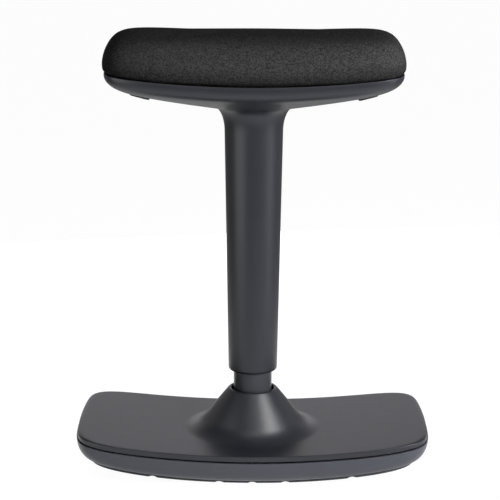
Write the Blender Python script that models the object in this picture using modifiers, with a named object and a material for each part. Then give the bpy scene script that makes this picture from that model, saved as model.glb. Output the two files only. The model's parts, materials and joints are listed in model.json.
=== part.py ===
"""Balance stool: a rocking base, a gas lift and an upholstered seat.

Metres, +Z up, +X along the seat's length. The origin is on the floor, under the column.
The stool stands upright at its lowest height.
"""
import math

import bmesh
import bpy
from mathutils import Matrix, Vector
from mathutils.bvhtree import BVHTree

# General
GAP = 0.0003            # clearance between touching pieces
OVERRUN = 0.004         # how far a cutter runs past what it cuts
RING_POINTS = 40        # points round the moulded parts, a multiple of four
PAD_RING_POINTS = 24    # points round the cushion's cage
TURN_STEPS = 28         # facets of a turned part
INNER_TURN_STEPS = 20   # facets of the turned parts inside the column
POST_STEPS = 12         # facets of posts and bosses
SMALL_TURN_STEPS = 8    # facets of screws, pins and their holes
MERGE = 0.00002

# Plan outlines of the base and the seat
BASE_LENGTH = 0.454
BASE_DEPTH = 0.244
BASE_END_BOW = 0.008    # how far the short ends bulge out at their middle
BASE_SIDE_BOW = 0.015   # how far the long sides bulge out at their middle
SEAT_LENGTH = 0.3735
SEAT_DEPTH = 0.227
SEAT_END_BOW = 0.006
SEAT_SIDE_BOW = 0.010
CORNER_POWER = 8.0      # squareness of both outlines
SWEEP_RADIUS = 1.40     # both ends of the base and of the seat sweep up on this radius

# Rocker sole
ROCK_RADIUS_X = 0.97
ROCK_RADIUS_Y = 1.73
ROCK_FLAT = 0.0008      # depth of the flat at the middle of the sole
SOLE_THICKNESS = 0.0033
SOLE_BED = 0.0006       # clearance to the tray's floor, over facets that cross
SOLE_INSET = 0.0178     # from the tray's rim
SOLE_EDGE_ROUND = 0.0012
GROOVE_RADIUS = 0.010
GROOVE_DEPTH = 0.0018
GROOVE_PITCH = 0.0423
GROOVE_SLOTS = (-3, -1, 0, 1, 3)
SOLE_SHARES = (0.0, 0.35, 0.70)  # lines of the floor between the flat and the sole's rim

# Base tray
TRAY_WALL = 0.003
TRAY_PROUD = 0.0015     # how far the tray's rim stands out past the cover
TRAY_UNDERCUT = 0.0155  # how far the side draws in down to the floor
TRAY_SEAM = 0.0010      # open seam under the cover
COVER_POST_RADIUS = 0.0060
PLATE_PAD_RADIUS = 0.0085
SCREW_RADIUS = 0.0020
SCREW_HEAD_RADIUS = 0.0040
SCREW_HEAD_HEIGHT = 0.0022
COVER_SCREW_BITE = 0.0060  # how far a screw runs into the cover
BOARD_SCREW_BITE = 0.0077  # and into the seat board
HEAD_RECESS = 0.0010    # how far a screw's head is sunk in the tray's floor
COVER_SCREW_END_INSET = 0.0495   # corner screws, in from the base's ends
COVER_SCREW_SIDE_INSET = 0.056   # and in from its long sides
MIDDLE_SCREW_INSET = 0.032       # screws at the middle of the long sides
COVER_SCREW_X = BASE_LENGTH / 2 - COVER_SCREW_END_INSET
COVER_SCREW_Y = BASE_DEPTH / 2 - COVER_SCREW_SIDE_INSET
COVER_SCREW_SIDE_Y = BASE_DEPTH / 2 - MIDDLE_SCREW_INSET

# Base cover
COVER_TOP_Z = 0.0426
COVER_BAND = 0.0065     # height of the band above the seam
COVER_EDGE_ROUND = 0.0030
COVER_WALL = 0.0025
CONE_TOP_Z = 0.0976
CONE_MOUTH_RADIUS = 0.0272
CONE_LIP_ROUND = 0.0030
CONE_SLOPE = math.radians(52.5)
CONE_FOOT_ROUND = 0.022
LIP_START = math.radians(130.0)

# Steel in the base
PLATE_SIDE_INSET = 0.050       # from the base's long sides
PLATE_FLOOR_GAP = 0.0012       # over the tray's rising floor, at the plate's corners
PLATE_THICKNESS = 0.005
PLATE_Z = 0.0188
PLATE_CORNER = 0.016
PLATE_SCREW_END_INSET = 0.030
PLATE_SCREW_SIDE_INSET = 0.022
PLATE_DEPTH = BASE_DEPTH - 2 * PLATE_SIDE_INSET
# The plate is as long as the tray's floor, which rises towards its ends, lets it be
PLATE_RISE = (PLATE_Z - PLATE_FLOOR_GAP - TRAY_WALL - SOLE_BED - SOLE_THICKNESS + ROCK_FLAT
              - PLATE_DEPTH ** 2 / (8 * ROCK_RADIUS_Y))
PLATE_LENGTH = 2 * math.sqrt(2 * ROCK_RADIUS_X * PLATE_RISE)
PLATE_SCREW_X = PLATE_LENGTH / 2 - PLATE_SCREW_END_INSET
PLATE_SCREW_Y = PLATE_DEPTH / 2 - PLATE_SCREW_SIDE_INSET
SOCKET_WALL = 0.0029
SOCKET_TOP_Z = 0.0858

# Gas lift
TUBE_RADIUS = 0.0250
TUBE_WALL = 0.0020
TUBE_TOP_Z = 0.3968
TUBE_BOTTOM_Z = 0.0183
TUBE_FLOOR = 0.0040
TUBE_TAPER_TOP_Z = 0.0868
TUBE_FOOT_RADIUS = 0.0232
CYLINDER_RADIUS = 0.0140
CYLINDER_WALL = 0.0022
CYLINDER_BOTTOM_Z = 0.0678
CYLINDER_TOP_Z = 0.4858
CYLINDER_TAPER_Z = 0.4418
CYLINDER_TIP_RADIUS = 0.0129
CYLINDER_HEAD = 0.0380  # solid length at the top, round the valve
BUSH_LENGTH = 0.060
BUSH_FLANGE = 0.0030
BUSH_FLANGE_WIDTH = 0.0021
ROD_RADIUS = 0.0050
ROD_FOOT_RADIUS = 0.0042
ROD_TIP_RADIUS = 0.0038
ROD_TOP_Z = 0.4268
ROD_END = 0.0027        # how far the rod runs out under the tube
PISTON_LENGTH = 0.0130
PISTON_SEAL_DEPTH = 0.0012
GLAND_LENGTH = 0.0175
WASHER_RADIUS = 0.0140
WASHER_THICKNESS = 0.0015
CAGE_THICKNESS = 0.0026
BUMP_RADIUS = 0.0160
BUMP_WAIST = 0.0030
BUMP_LOBES = 3
CLIP_RADIUS = 0.0075
CLIP_THICKNESS = 0.0012
CLIP_MOUTH = 0.0050
VALVE_RADIUS = 0.0040
VALVE_REACH = 0.0061    # how far the valve pin stands out of the cylinder
VALVE_LENGTH = 0.0246

# Seat shell
RIM_Z = 0.5048
SHELL_WALL = 0.0032
RIM_LAND = 0.0015       # upright land at the rim
BOWL_DEPTH = 0.0157
BOWL_DISH = 0.0190
BOWL_POWER = 11.5
NECK_RADIUS = 0.0520    # where the bowl turns into the column
NECK_DROP = 0.0304
SLEEVE_TOP_RADIUS = 0.0374
SLEEVE_FOOT_RADIUS = 0.0318
SLEEVE_BOTTOM_Z = 0.1226
SLEEVE_ROUND = 0.0040
SHELL_POST_RADIUS = 0.0050

# Board, bracket and hub
BOARD_END_INSET = 0.025        # from the shell's rim
BOARD_SIDE_INSET = 0.0195
BOARD_LENGTH = SEAT_LENGTH - 2 * BOARD_END_INSET
BOARD_DEPTH = SEAT_DEPTH - 2 * BOARD_SIDE_INSET
BOARD_THICKNESS = 0.012
BOARD_Z = 0.5028
BOARD_CORNER = 0.030
SHELL_SCREW_END_INSET = 0.025  # from the board's edges
SHELL_SCREW_SIDE_INSET = 0.020
SHELL_SCREW_X = BOARD_LENGTH / 2 - SHELL_SCREW_END_INSET
SHELL_SCREW_Y = BOARD_DEPTH / 2 - SHELL_SCREW_SIDE_INSET
BRACKET_LENGTH = 0.172
BRACKET_DEPTH = 0.100
BRACKET_THICKNESS = 0.003
BRACKET_Z = 0.4853
BRACKET_CORNER = 0.010
BRACKET_SCREW_END_INSET = 0.018
BRACKET_SCREW_SIDE_INSET = 0.012
BRACKET_SCREW_X = BRACKET_LENGTH / 2 - BRACKET_SCREW_END_INSET
BRACKET_SCREW_Y = BRACKET_DEPTH / 2 - BRACKET_SCREW_SIDE_INSET
FOOT_RADIUS = 0.0060
HUB_RADIUS = 0.0215
HUB_LENGTH = 0.0465
EAR_WIDTH = 0.012
EAR_THICKNESS = 0.003
EAR_HEIGHT = 0.0105

# Release levers
LEVER_PIVOT_X = 0.075
LEVER_THICKNESS = 0.003
LEVER_CLEARANCE = 0.0040  # under the arm, over the bracket
ARM_HALF_WIDTH = 0.0076
TONGUE_START_X = 0.010
TONGUE_REACH = 0.0035
TONGUE_GAP = 0.0006
PIVOT_BOSS_RADIUS = 0.0042
PIN_RADIUS = 0.0016
PADDLE_INNER_X = 0.1300
PADDLE_OUTER_X = 0.1540
PADDLE_WIDTH = 0.110
PADDLE_INNER_Z = 0.4834
PADDLE_OUTER_Z = 0.4898
PADDLE_SLOT_GAP = 0.0015
PADDLE_ROUND = 0.006

# Cushion
PAD_TOP_Z = 0.5662
PAD_OVERHANG = 0.0020   # how far its widest line stands out past the shell's rim
PAD_CROWN = 0.011       # fall of the top from the middle to the long sides
PAD_LIFT = 0.0015       # rise of the top towards the two ends
PAD_SEAT_GAP = 0.0004
# Each row: how far in from the widest line, as a share of PAD_SIDE_DRAW, and height share
PAD_SIDE_DRAW = 0.070
PAD_PROFILE_SHARES = (
    (0.560, 0.00), (0.107, 0.00), (0.030, 0.045), (-0.015, 0.19), (0.016, 0.48),
    (0.108, 0.77), (0.278, 0.955), (0.600, 1.00), (1.000, 1.00),
)

# Colour, roughness and metallic value of each finish
FINISHES = {
    "housing_plastic": ((0.055, 0.057, 0.060), 0.48, 0.0),
    "seat_fabric": ((0.022, 0.022, 0.023), 0.92, 0.0),
    "tube_black": ((0.030, 0.031, 0.033), 0.35, 0.6),
    "zinc_steel": ((0.55, 0.56, 0.58), 0.38, 1.0),
    "black_steel": ((0.045, 0.045, 0.047), 0.45, 0.7),
    "chrome": ((0.70, 0.70, 0.72), 0.12, 1.0),
    "rubber": ((0.030, 0.031, 0.033), 0.78, 0.0),
    "plywood": ((0.56, 0.40, 0.24), 0.60, 0.0),
    "bush_plastic": ((0.020, 0.020, 0.021), 0.40, 0.0),
}

HALF_TURN = math.pi
QUARTER_TURN = math.pi / 2
SMOOTH_ANGLE = math.radians(32)


# Scene, materials and naming

def clear_scene():
    for item in list(bpy.data.objects):
        bpy.data.objects.remove(item, do_unlink=True)


def new_collection(name):
    collection = bpy.data.collections.new(name)
    bpy.context.scene.collection.children.link(collection)
    return collection


def make_materials():
    made = {}
    for name, (colour, roughness, metallic) in FINISHES.items():
        material = bpy.data.materials.new(name)
        material.use_nodes = True
        shader = material.node_tree.nodes["Principled BSDF"]
        shader.inputs["Base Color"].default_value = (*colour, 1.0)
        shader.inputs["Roughness"].default_value = roughness
        shader.inputs["Metallic"].default_value = metallic
        made[name] = material
    return made


clear_scene()
PARTS = new_collection("balance_stool")
CUTTERS = new_collection("balance_stool_cutters")
MATERIALS = make_materials()


def add_object(name, mesh, finish):
    """Link a part, shaded smooth over its round faces, with its finish."""
    part = bpy.data.objects.new(name, mesh)
    PARTS.objects.link(part)
    mesh.materials.append(MATERIALS[finish])
    mesh.shade_smooth()
    mesh.set_sharp_from_angle(angle=SMOOTH_ANGLE)
    return part


def add_cutter(name, mesh):
    cutter = bpy.data.objects.new(name, mesh)
    CUTTERS.objects.link(cutter)
    cutter.hide_render = True
    cutter.display_type = "WIRE"
    return cutter


def add_axis(name, location, parent=None):
    """An empty on a joint's axis, which carries the pieces that move with the joint."""
    axis = bpy.data.objects.new(name, None)
    PARTS.objects.link(axis)
    axis.empty_display_size = TUBE_RADIUS
    axis.location = location
    bpy.context.view_layer.update()
    if parent:
        attach(axis, parent)
    return axis


def attach(child, parent):
    bpy.context.view_layer.update()
    child.parent = parent
    child.matrix_parent_inverse = parent.matrix_world.inverted()
    bpy.context.view_layer.update()


def join_or_cut(part, tool, operation):
    modifier = part.modifiers.new(operation.lower() + "_" + tool.name, "BOOLEAN")
    modifier.operation = operation
    modifier.object = tool
    modifier.solver = "EXACT"


# Shapes

def mesh_from(build, name):
    """Make a mesh from a function that fills a bmesh."""
    form = bmesh.new()
    build(form)
    mesh = bpy.data.meshes.new(name)
    form.to_mesh(mesh)
    form.free()
    return mesh


def cylinders_mesh(name, rods, sides):
    """Upright cylinders, each given as (x, y, bottom, top, radius)."""
    def build(form):
        for x, y, bottom, top, radius in rods:
            place = Matrix.Translation((x, y, (bottom + top) / 2))
            turn = Matrix.Rotation(HALF_TURN / sides, 4, "Z")
            bmesh.ops.create_cone(form, cap_ends=True, segments=sides, radius1=radius,
                                  radius2=radius, depth=top - bottom, matrix=place @ turn)
    return mesh_from(build, name)


def counterbores_mesh(name, holes, sides):
    """Screw holes with a wider seat for the head below, each (x, y, bottom, seat, top)."""
    def build(form):
        for x, y, bottom, seat, top in holes:
            steps = [(SCREW_RADIUS + GAP, top), (SCREW_RADIUS + GAP, seat),
                     (SCREW_HEAD_RADIUS + GAP, seat), (SCREW_HEAD_RADIUS + GAP, bottom)]
            rows = []
            for radius, z in steps:
                angles = [HALF_TURN * (2 * k + 1) / sides for k in range(sides)]
                rows.append([form.verts.new((x + radius * math.cos(a), y + radius * math.sin(a), z))
                             for a in angles])
            skin_rows(form, rows)
            form.faces.new(rows[0])
            form.faces.new(list(reversed(rows[-1])))
    return mesh_from(build, name)


def boxes_mesh(name, boxes, corner=0.0, corner_steps=3):
    """Boxes, each given as (low corner, high corner), with upright edges rounded."""
    def build(form):
        for low, high in boxes:
            low, high = Vector(low), Vector(high)
            size = high - low
            place = Matrix.Translation((low + high) / 2) @ Matrix.Diagonal((*size, 1.0))
            bmesh.ops.create_cube(form, size=1.0, matrix=place)
        round_uprights(form, corner, corner_steps)
    return mesh_from(build, name)


def round_uprights(form, corner, steps):
    """Round the edges that stand along Z."""
    if corner <= 0:
        return
    upright = [edge for edge in form.edges
               if (edge.verts[0].co - edge.verts[1].co).xy.length < MERGE]
    bmesh.ops.bevel(form, geom=upright, offset=corner, segments=steps, affect="EDGES", profile=0.5)


def prism_mesh(name, outline, half_width, middle=0.0, corner=0.0):
    """An outline in the XZ plane, given anticlockwise seen from -Y, carried along Y."""
    def build(form):
        corners = [form.verts.new((x, middle - half_width, z)) for x, z in outline]
        face = form.faces.new(corners)
        swept = bmesh.ops.extrude_face_region(form, geom=[face])
        moved = [item for item in swept["geom"] if isinstance(item, bmesh.types.BMVert)]
        bmesh.ops.translate(form, verts=moved, vec=(0.0, 2 * half_width, 0.0))
        round_uprights(form, corner, 3)
        bmesh.ops.recalc_face_normals(form, faces=form.faces)
    return mesh_from(build, name)


def turned(name, profile, finish, steps=TURN_STEPS, closed=True):
    """Turn a profile of (radius, height) points, running down the outer side, about Z."""
    mesh = bpy.data.meshes.new(name)
    points = [(radius, 0.0, height) for radius, height in profile]
    count = len(points)
    edges = [(i, i + 1) for i in range(count - 1)]
    if closed:
        edges.append((count - 1, 0))
    mesh.from_pydata(points, edges, [])
    part = add_object(name, mesh, finish)
    screw = part.modifiers.new("turn", "SCREW")
    screw.axis = "Z"
    screw.steps = steps
    screw.render_steps = steps
    screw.use_merge_vertices = True
    screw.merge_threshold = MERGE
    screw.use_smooth_shade = False
    return part


def skin_rows(form, rows):
    for upper, lower in zip(rows, rows[1:]):
        count = len(upper)
        for i in range(count):
            j = (i + 1) % count
            form.faces.new((upper[i], lower[i], lower[j], upper[j]))


def loft(name, rings, cap_first=False, cap_last=False):
    """Skin rings of equal count, each running anticlockwise seen from above."""
    def build(form):
        rows = [[form.verts.new(point) for point in ring] for ring in rings]
        skin_rows(form, rows)
        if cap_first:
            form.faces.new(rows[0])
        if cap_last:
            form.faces.new(list(reversed(rows[-1])))
    return mesh_from(build, name)


def add_wall(part, thickness):
    """Give an open skin its wall, inward from the outer face."""
    wall = part.modifiers.new("wall", "SOLIDIFY")
    wall.thickness = thickness
    wall.offset = -1.0
    wall.use_even_offset = True


# Plan outlines

class Plan:
    """A rounded rectangle whose four sides bow outward, read at any angle from its middle."""

    def __init__(self, length, depth, end_bow, side_bow):
        self.half_x = length / 2
        self.half_y = depth / 2
        self.end_bow = end_bow
        self.side_bow = side_bow

    def reach(self, angle):
        cos_a = abs(math.cos(angle))
        sin_a = abs(math.sin(angle))
        to_end = self.half_x
        to_side = self.half_y
        for _ in range(12):
            to_end = self.half_x - self.end_bow * (to_end * sin_a / self.half_y) ** 2
            to_side = self.half_y - self.side_bow * (to_side * cos_a / self.half_x) ** 2
        power = CORNER_POWER
        total = (cos_a / to_end) ** power + (sin_a / to_side) ** power
        return total ** (-1 / power)


def spread_angles(plan, count):
    """Angles round a plan, closer together where its corners turn."""
    samples = 400
    quarter = [QUARTER_TURN * i / samples for i in range(samples + 1)]
    points = [Vector((math.cos(a), math.sin(a))) * plan.reach(a) for a in quarter]
    steps = [b - a for a, b in zip(points, points[1:])]
    length = sum(step.length for step in steps)
    weights = [0.0]
    angle_share, length_share, turn_share = 0.45, 0.2, 0.35
    for i, step in enumerate(steps):
        turn = steps[i - 1].angle(step) if i else 0.0
        weights.append(weights[-1] + angle_share / samples + length_share * step.length / length
                       + turn_share * turn / QUARTER_TURN)
    per_quarter = count // 4
    chosen = []
    for k in range(per_quarter):
        goal = weights[-1] * k / per_quarter
        i = max(index for index, weight in enumerate(weights) if weight <= goal)
        chosen.append(quarter[i])
    first = chosen + [QUARTER_TURN]
    second = [HALF_TURN - a for a in reversed(chosen)]
    upper = first + second[:-1]
    return upper + [HALF_TURN + a for a in upper]


def sweep(x):
    """Height of the upward sweep at distance x from the middle."""
    return x * x / (2 * SWEEP_RADIUS)


def rock(x, y):
    """Height of the sole's underside over the floor, ahead of its flat."""
    return x * x / (2 * ROCK_RADIUS_X) + y * y / (2 * ROCK_RADIUS_Y) - ROCK_FLAT


def polar_ring(angles, reach, height):
    """A ring of points; reach takes the angle, height takes x and y."""
    ring = []
    for angle in angles:
        radius = reach(angle)
        x = radius * math.cos(angle)
        y = radius * math.sin(angle)
        ring.append((x, y, height(x, y)))
    return ring


def circle_ring(angles, radius, z):
    return polar_ring(angles, lambda angle: radius, lambda x, y: z)


BASE_PLAN = Plan(BASE_LENGTH, BASE_DEPTH, BASE_END_BOW, BASE_SIDE_BOW)
SEAT_PLAN = Plan(SEAT_LENGTH, SEAT_DEPTH, SEAT_END_BOW, SEAT_SIDE_BOW)
BASE_ANGLES = spread_angles(BASE_PLAN, RING_POINTS)
SEAT_ANGLES = spread_angles(SEAT_PLAN, RING_POINTS)
PAD_ANGLES = spread_angles(SEAT_PLAN, PAD_RING_POINTS)


def surface_heights(part, x, y, start_z, direction_z):
    """Height where a vertical ray meets a part, modifiers included."""
    bpy.context.view_layer.update()
    tree = BVHTree.FromObject(part, bpy.context.evaluated_depsgraph_get())
    hit = tree.ray_cast(Vector((x, y, start_z)), Vector((0.0, 0.0, direction_z)))
    return hit[0].z


def corners_of(x, y):
    return [(x, y), (-x, y), (x, -y), (-x, -y)]


# Rocking base

def cone_profile():
    """Lip, straight cone and foot of the cover, as (radius, height) from the lip outward."""
    lip_r = CONE_MOUTH_RADIUS + CONE_LIP_ROUND
    lip_z = CONE_TOP_Z - CONE_LIP_ROUND
    cone_normal = QUARTER_TURN - CONE_SLOPE
    points = []
    lip_steps = 3
    for i in range(lip_steps + 1):
        angle = LIP_START + (cone_normal - LIP_START) * i / lip_steps
        points.append((lip_r + CONE_LIP_ROUND * math.cos(angle),
                       lip_z + CONE_LIP_ROUND * math.sin(angle)))
    last_r, last_z = points[-1]
    meet_r = last_r + (last_z - COVER_TOP_Z) / math.tan(CONE_SLOPE)
    tangent = CONE_FOOT_ROUND * math.tan(CONE_SLOPE / 2)
    foot_r = meet_r + tangent
    foot_steps = 4
    for i in range(foot_steps + 1):
        angle = CONE_SLOPE * (1 - i / foot_steps)
        points.append((foot_r - CONE_FOOT_ROUND * math.sin(angle),
                       COVER_TOP_Z + CONE_FOOT_ROUND * (1 - math.cos(angle))))
    return points


def make_base_cover():
    profile = cone_profile()
    lip_radius = profile[0][0]
    foot_radius = profile[-1][0]
    rings = []
    for radius, z in profile:
        spread = (radius - lip_radius) / (foot_radius - lip_radius)
        rings.append(polar_ring(BASE_ANGLES, lambda a, r=radius: r,
                                lambda x, y, z=z, k=spread: z + k * sweep(x)))
    plate_shares = (0.42, 0.86)
    for share in plate_shares:
        def reach(angle, s=share):
            return foot_radius + s * (BASE_PLAN.reach(angle) - COVER_EDGE_ROUND - foot_radius)
        rings.append(polar_ring(BASE_ANGLES, reach, lambda x, y: COVER_TOP_Z + sweep(x)))
    edge_steps = 3
    for i in range(edge_steps + 1):
        angle = QUARTER_TURN * i / edge_steps
        inset = COVER_EDGE_ROUND * (1 - math.sin(angle))
        drop = COVER_EDGE_ROUND * (1 - math.cos(angle))
        rings.append(polar_ring(BASE_ANGLES, lambda a, d=inset: BASE_PLAN.reach(a) - d,
                                lambda x, y, d=drop: COVER_TOP_Z - d + sweep(x)))
    rings.append(polar_ring(BASE_ANGLES, BASE_PLAN.reach,
                            lambda x, y: COVER_TOP_Z - COVER_BAND + sweep(x)))
    cover = add_object("base_cover", loft("base_cover", rings), "housing_plastic")
    add_wall(cover, COVER_WALL)
    rods, holes = [], []
    for x, y in cover_screw_places():
        top = surface_heights(cover, x, y, CONE_TOP_Z + OVERRUN, -1.0) - COVER_WALL / 2
        rods.append((x, y, cover_boss_bottom(x), top - sweep(COVER_POST_RADIUS), COVER_POST_RADIUS))
        holes.append((x, y, cover_boss_bottom(x) - OVERRUN, cover_boss_bottom(x) + COVER_SCREW_BITE,
                      SCREW_RADIUS + GAP))
    bosses = add_cutter("cover_bosses", cylinders_mesh("cover_bosses", rods, POST_STEPS))
    join_or_cut(cover, bosses, "UNION")
    bores = add_cutter("cover_boss_bores",
                       cylinders_mesh("cover_boss_bores", holes, SMALL_TURN_STEPS))
    join_or_cut(cover, bores, "DIFFERENCE")
    return cover


def cover_screw_places():
    side = [(0.0, COVER_SCREW_SIDE_Y), (0.0, -COVER_SCREW_SIDE_Y)]
    return corners_of(COVER_SCREW_X, COVER_SCREW_Y) + side


def plate_screw_places():
    return corners_of(PLATE_SCREW_X, PLATE_SCREW_Y)


def cover_boss_bottom(x):
    return COVER_TOP_Z - COVER_BAND - COVER_WALL + sweep(x) / 2


def tray_floor_outer(x, y):
    return max(rock(x, y), 0.0) + SOLE_THICKNESS + SOLE_BED


def tray_reach(angle):
    return BASE_PLAN.reach(angle) + TRAY_PROUD


def make_base_tray():
    rim_z = COVER_TOP_Z - COVER_BAND - TRAY_SEAM
    rings = []
    side_steps = 4
    for i in range(side_steps + 1):
        angle = QUARTER_TURN * i / side_steps
        inset = TRAY_UNDERCUT * (1 - math.cos(angle))
        down = math.sin(angle)

        def height(x, y, k=down):
            top = rim_z + sweep(x)
            return top + k * (tray_floor_outer(x, y) - top)
        rings.append(polar_ring(BASE_ANGLES, lambda a, d=inset: tray_reach(a) - d, height))
    for share in reversed(SOLE_SHARES):
        rings.append(polar_ring(BASE_ANGLES, lambda a, s=share: sole_reach(a, s),
                                tray_floor_outer))
    mesh = loft("base_tray", rings, cap_last=True)
    tray = add_object("base_tray", mesh, "housing_plastic")
    add_wall(tray, TRAY_WALL)
    posts, holes = [], []
    places = [(x, y, cover_boss_bottom(x) - GAP, COVER_POST_RADIUS)
              for x, y in cover_screw_places()]
    places += [(x, y, PLATE_Z - GAP, PLATE_PAD_RADIUS) for x, y in plate_screw_places()]
    for x, y, top, radius in places:
        floor = tray_floor_outer(x, y)
        posts.append((x, y, floor + TRAY_WALL / 2, top, radius))
        seat = floor + HEAD_RECESS + SCREW_HEAD_HEIGHT + GAP
        holes.append((x, y, 0.0, seat, top + OVERRUN))
    post_mesh = cylinders_mesh("tray_posts", posts, POST_STEPS)
    join_or_cut(tray, add_cutter("tray_posts", post_mesh), "UNION")
    bore_mesh = counterbores_mesh("tray_bores", holes, SMALL_TURN_STEPS)
    join_or_cut(tray, add_cutter("tray_bores", bore_mesh), "DIFFERENCE")
    return tray


def sole_reach(angle, share):
    """Distance to a line between the edge of the sole's flat (0) and its rim (1)."""
    curve = (math.cos(angle) ** 2 / (2 * ROCK_RADIUS_X)
             + math.sin(angle) ** 2 / (2 * ROCK_RADIUS_Y))
    flat = math.sqrt(ROCK_FLAT / curve)
    return flat + share * (tray_reach(angle) - SOLE_INSET - flat)


def make_base_sole():
    def top(x, y):
        return tray_floor_outer(x, y) - SOLE_BED

    def under(x, y):
        return max(rock(x, y), 0.0)

    rings = []
    for share in (*SOLE_SHARES, 1.0):
        rings.append(polar_ring(BASE_ANGLES, lambda a, s=share: sole_reach(a, s), top))
    rings.append(polar_ring(BASE_ANGLES, lambda a: sole_reach(a, 1.0),
                            lambda x, y: under(x, y) + SOLE_EDGE_ROUND))
    rings.append(polar_ring(BASE_ANGLES, lambda a: sole_reach(a, 1.0) - SOLE_EDGE_ROUND, under))
    for share in reversed(SOLE_SHARES):
        rings.append(polar_ring(BASE_ANGLES, lambda a, s=share: sole_reach(a, s), under))
    mesh = loft("base_sole", rings, cap_first=True, cap_last=True)
    sole = add_object("base_sole", mesh, "rubber")
    for index, slot in enumerate(GROOVE_SLOTS):
        groove = add_cutter("sole_groove_" + str(index + 1), groove_mesh(slot * GROOVE_PITCH))
        join_or_cut(sole, groove, "DIFFERENCE")
    return sole


def groove_mesh(x):
    """A round bar along Y, sunk to the groove's depth all along the curved underside."""
    half = BASE_DEPTH / 2
    stations = 6
    sides = 16
    rings = []
    for i in range(stations + 1):
        y = half * (2 * i / stations - 1)
        middle = max(rock(x, y), 0.0) + GROOVE_DEPTH - GROOVE_RADIUS
        ring = []
        for k in range(sides):
            angle = 2 * HALF_TURN * k / sides
            ring.append((x + GROOVE_RADIUS * math.cos(angle), y,
                         middle + GROOVE_RADIUS * math.sin(angle)))
        rings.append(ring)
    mesh = loft("sole_groove", rings, cap_first=True, cap_last=True)
    form = bmesh.new()
    form.from_mesh(mesh)
    bmesh.ops.recalc_face_normals(form, faces=form.faces)
    form.to_mesh(mesh)
    form.free()
    return mesh


def make_base_plate():
    low = (-PLATE_LENGTH / 2, -PLATE_DEPTH / 2, PLATE_Z)
    high = (PLATE_LENGTH / 2, PLATE_DEPTH / 2, PLATE_Z + PLATE_THICKNESS)
    mesh = boxes_mesh("base_plate", [(low, high)], PLATE_CORNER, 4)
    plate = add_object("base_plate", mesh, "black_steel")
    socket_radius = TUBE_RADIUS + GAP + SOCKET_WALL
    bottom, top = PLATE_Z - OVERRUN, PLATE_Z + PLATE_THICKNESS + OVERRUN
    centre = cylinders_mesh("plate_bore", [(0.0, 0.0, bottom, top, socket_radius + GAP)], TURN_STEPS)
    join_or_cut(plate, add_cutter("plate_bore", centre), "DIFFERENCE")
    taps = [(x, y, bottom, top, SCREW_RADIUS + GAP) for x, y in plate_screw_places()]
    join_or_cut(plate, add_cutter("plate_taps", cylinders_mesh("plate_taps", taps,
                                                               SMALL_TURN_STEPS)), "DIFFERENCE")
    return plate


def tube_taper_radius(z):
    """Outer radius of the stand tube at height z."""
    share = (z - TUBE_BOTTOM_Z) / (TUBE_TAPER_TOP_Z - TUBE_BOTTOM_Z)
    return TUBE_FOOT_RADIUS + min(share, 1.0) * (TUBE_RADIUS - TUBE_FOOT_RADIUS)


def make_base_socket():
    outer = TUBE_RADIUS + GAP + SOCKET_WALL
    profile = [
        (outer, SOCKET_TOP_Z),
        (outer, PLATE_Z),
        (tube_taper_radius(PLATE_Z) + GAP, PLATE_Z),
        (tube_taper_radius(SOCKET_TOP_Z) + GAP, SOCKET_TOP_Z),
    ]
    return turned("base_socket", profile, "black_steel")


def screw_up(name, x, y, head_z, tip_z):
    """A cap screw put in from below, with its head's underside at head_z."""
    profile = [
        (0.0, tip_z),
        (SCREW_RADIUS, tip_z),
        (SCREW_RADIUS, head_z + SCREW_HEAD_HEIGHT),
        (SCREW_HEAD_RADIUS, head_z + SCREW_HEAD_HEIGHT),
        (SCREW_HEAD_RADIUS, head_z),
        (0.0, head_z),
    ]
    screw = turned(name, profile, "zinc_steel", SMALL_TURN_STEPS, closed=False)
    screw.location = (x, y, 0.0)
    screw.rotation_euler.z = HALF_TURN / SMALL_TURN_STEPS
    return screw


def make_base_screws():
    screws = []
    for index, (x, y) in enumerate(cover_screw_places()):
        head = tray_floor_outer(x, y) + HEAD_RECESS
        tip = cover_boss_bottom(x) + COVER_SCREW_BITE - GAP
        screws.append(screw_up("cover_screw_" + str(index + 1), x, y, head, tip))
    for index, (x, y) in enumerate(plate_screw_places()):
        head = tray_floor_outer(x, y) + HEAD_RECESS
        tip = PLATE_Z + PLATE_THICKNESS
        screws.append(screw_up("plate_screw_" + str(index + 1), x, y, head, tip))
    return screws


# Gas lift

def make_stand_tube():
    floor_z = TUBE_BOTTOM_Z + TUBE_FLOOR
    hole = ROD_FOOT_RADIUS + GAP
    profile = [
        (TUBE_RADIUS, TUBE_TOP_Z),
        (TUBE_RADIUS, TUBE_TAPER_TOP_Z),
        (TUBE_FOOT_RADIUS, TUBE_BOTTOM_Z),
        (hole, TUBE_BOTTOM_Z),
        (hole, floor_z),
        (tube_taper_radius(floor_z) - TUBE_WALL, floor_z),
        (TUBE_RADIUS - TUBE_WALL, TUBE_TAPER_TOP_Z),
        (TUBE_RADIUS - TUBE_WALL, TUBE_TOP_Z),
    ]
    return turned("stand_tube", profile, "tube_black")


def make_guide_bush():
    outer = TUBE_RADIUS - TUBE_WALL - GAP
    flange = outer + BUSH_FLANGE_WIDTH
    inner = CYLINDER_RADIUS + GAP
    seat_z = TUBE_TOP_Z + GAP
    profile = [
        (flange, seat_z + BUSH_FLANGE),
        (flange, seat_z),
        (outer, seat_z),
        (outer, seat_z - BUSH_LENGTH),
        (inner, seat_z - BUSH_LENGTH),
        (inner, seat_z + BUSH_FLANGE),
    ]
    return turned("guide_bush", profile, "bush_plastic")


def bearing_levels():
    """Bottom heights of the lower washer, the cage, the upper washer and the buffer."""
    lower = TUBE_BOTTOM_Z + TUBE_FLOOR + GAP
    cage = lower + WASHER_THICKNESS + GAP
    upper = cage + CAGE_THICKNESS + GAP
    buffer = upper + WASHER_THICKNESS + GAP
    return lower, cage, upper, buffer


def ring_profile(outer, inner, bottom, top):
    return [(outer, top), (outer, bottom), (inner, bottom), (inner, top)]


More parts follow.
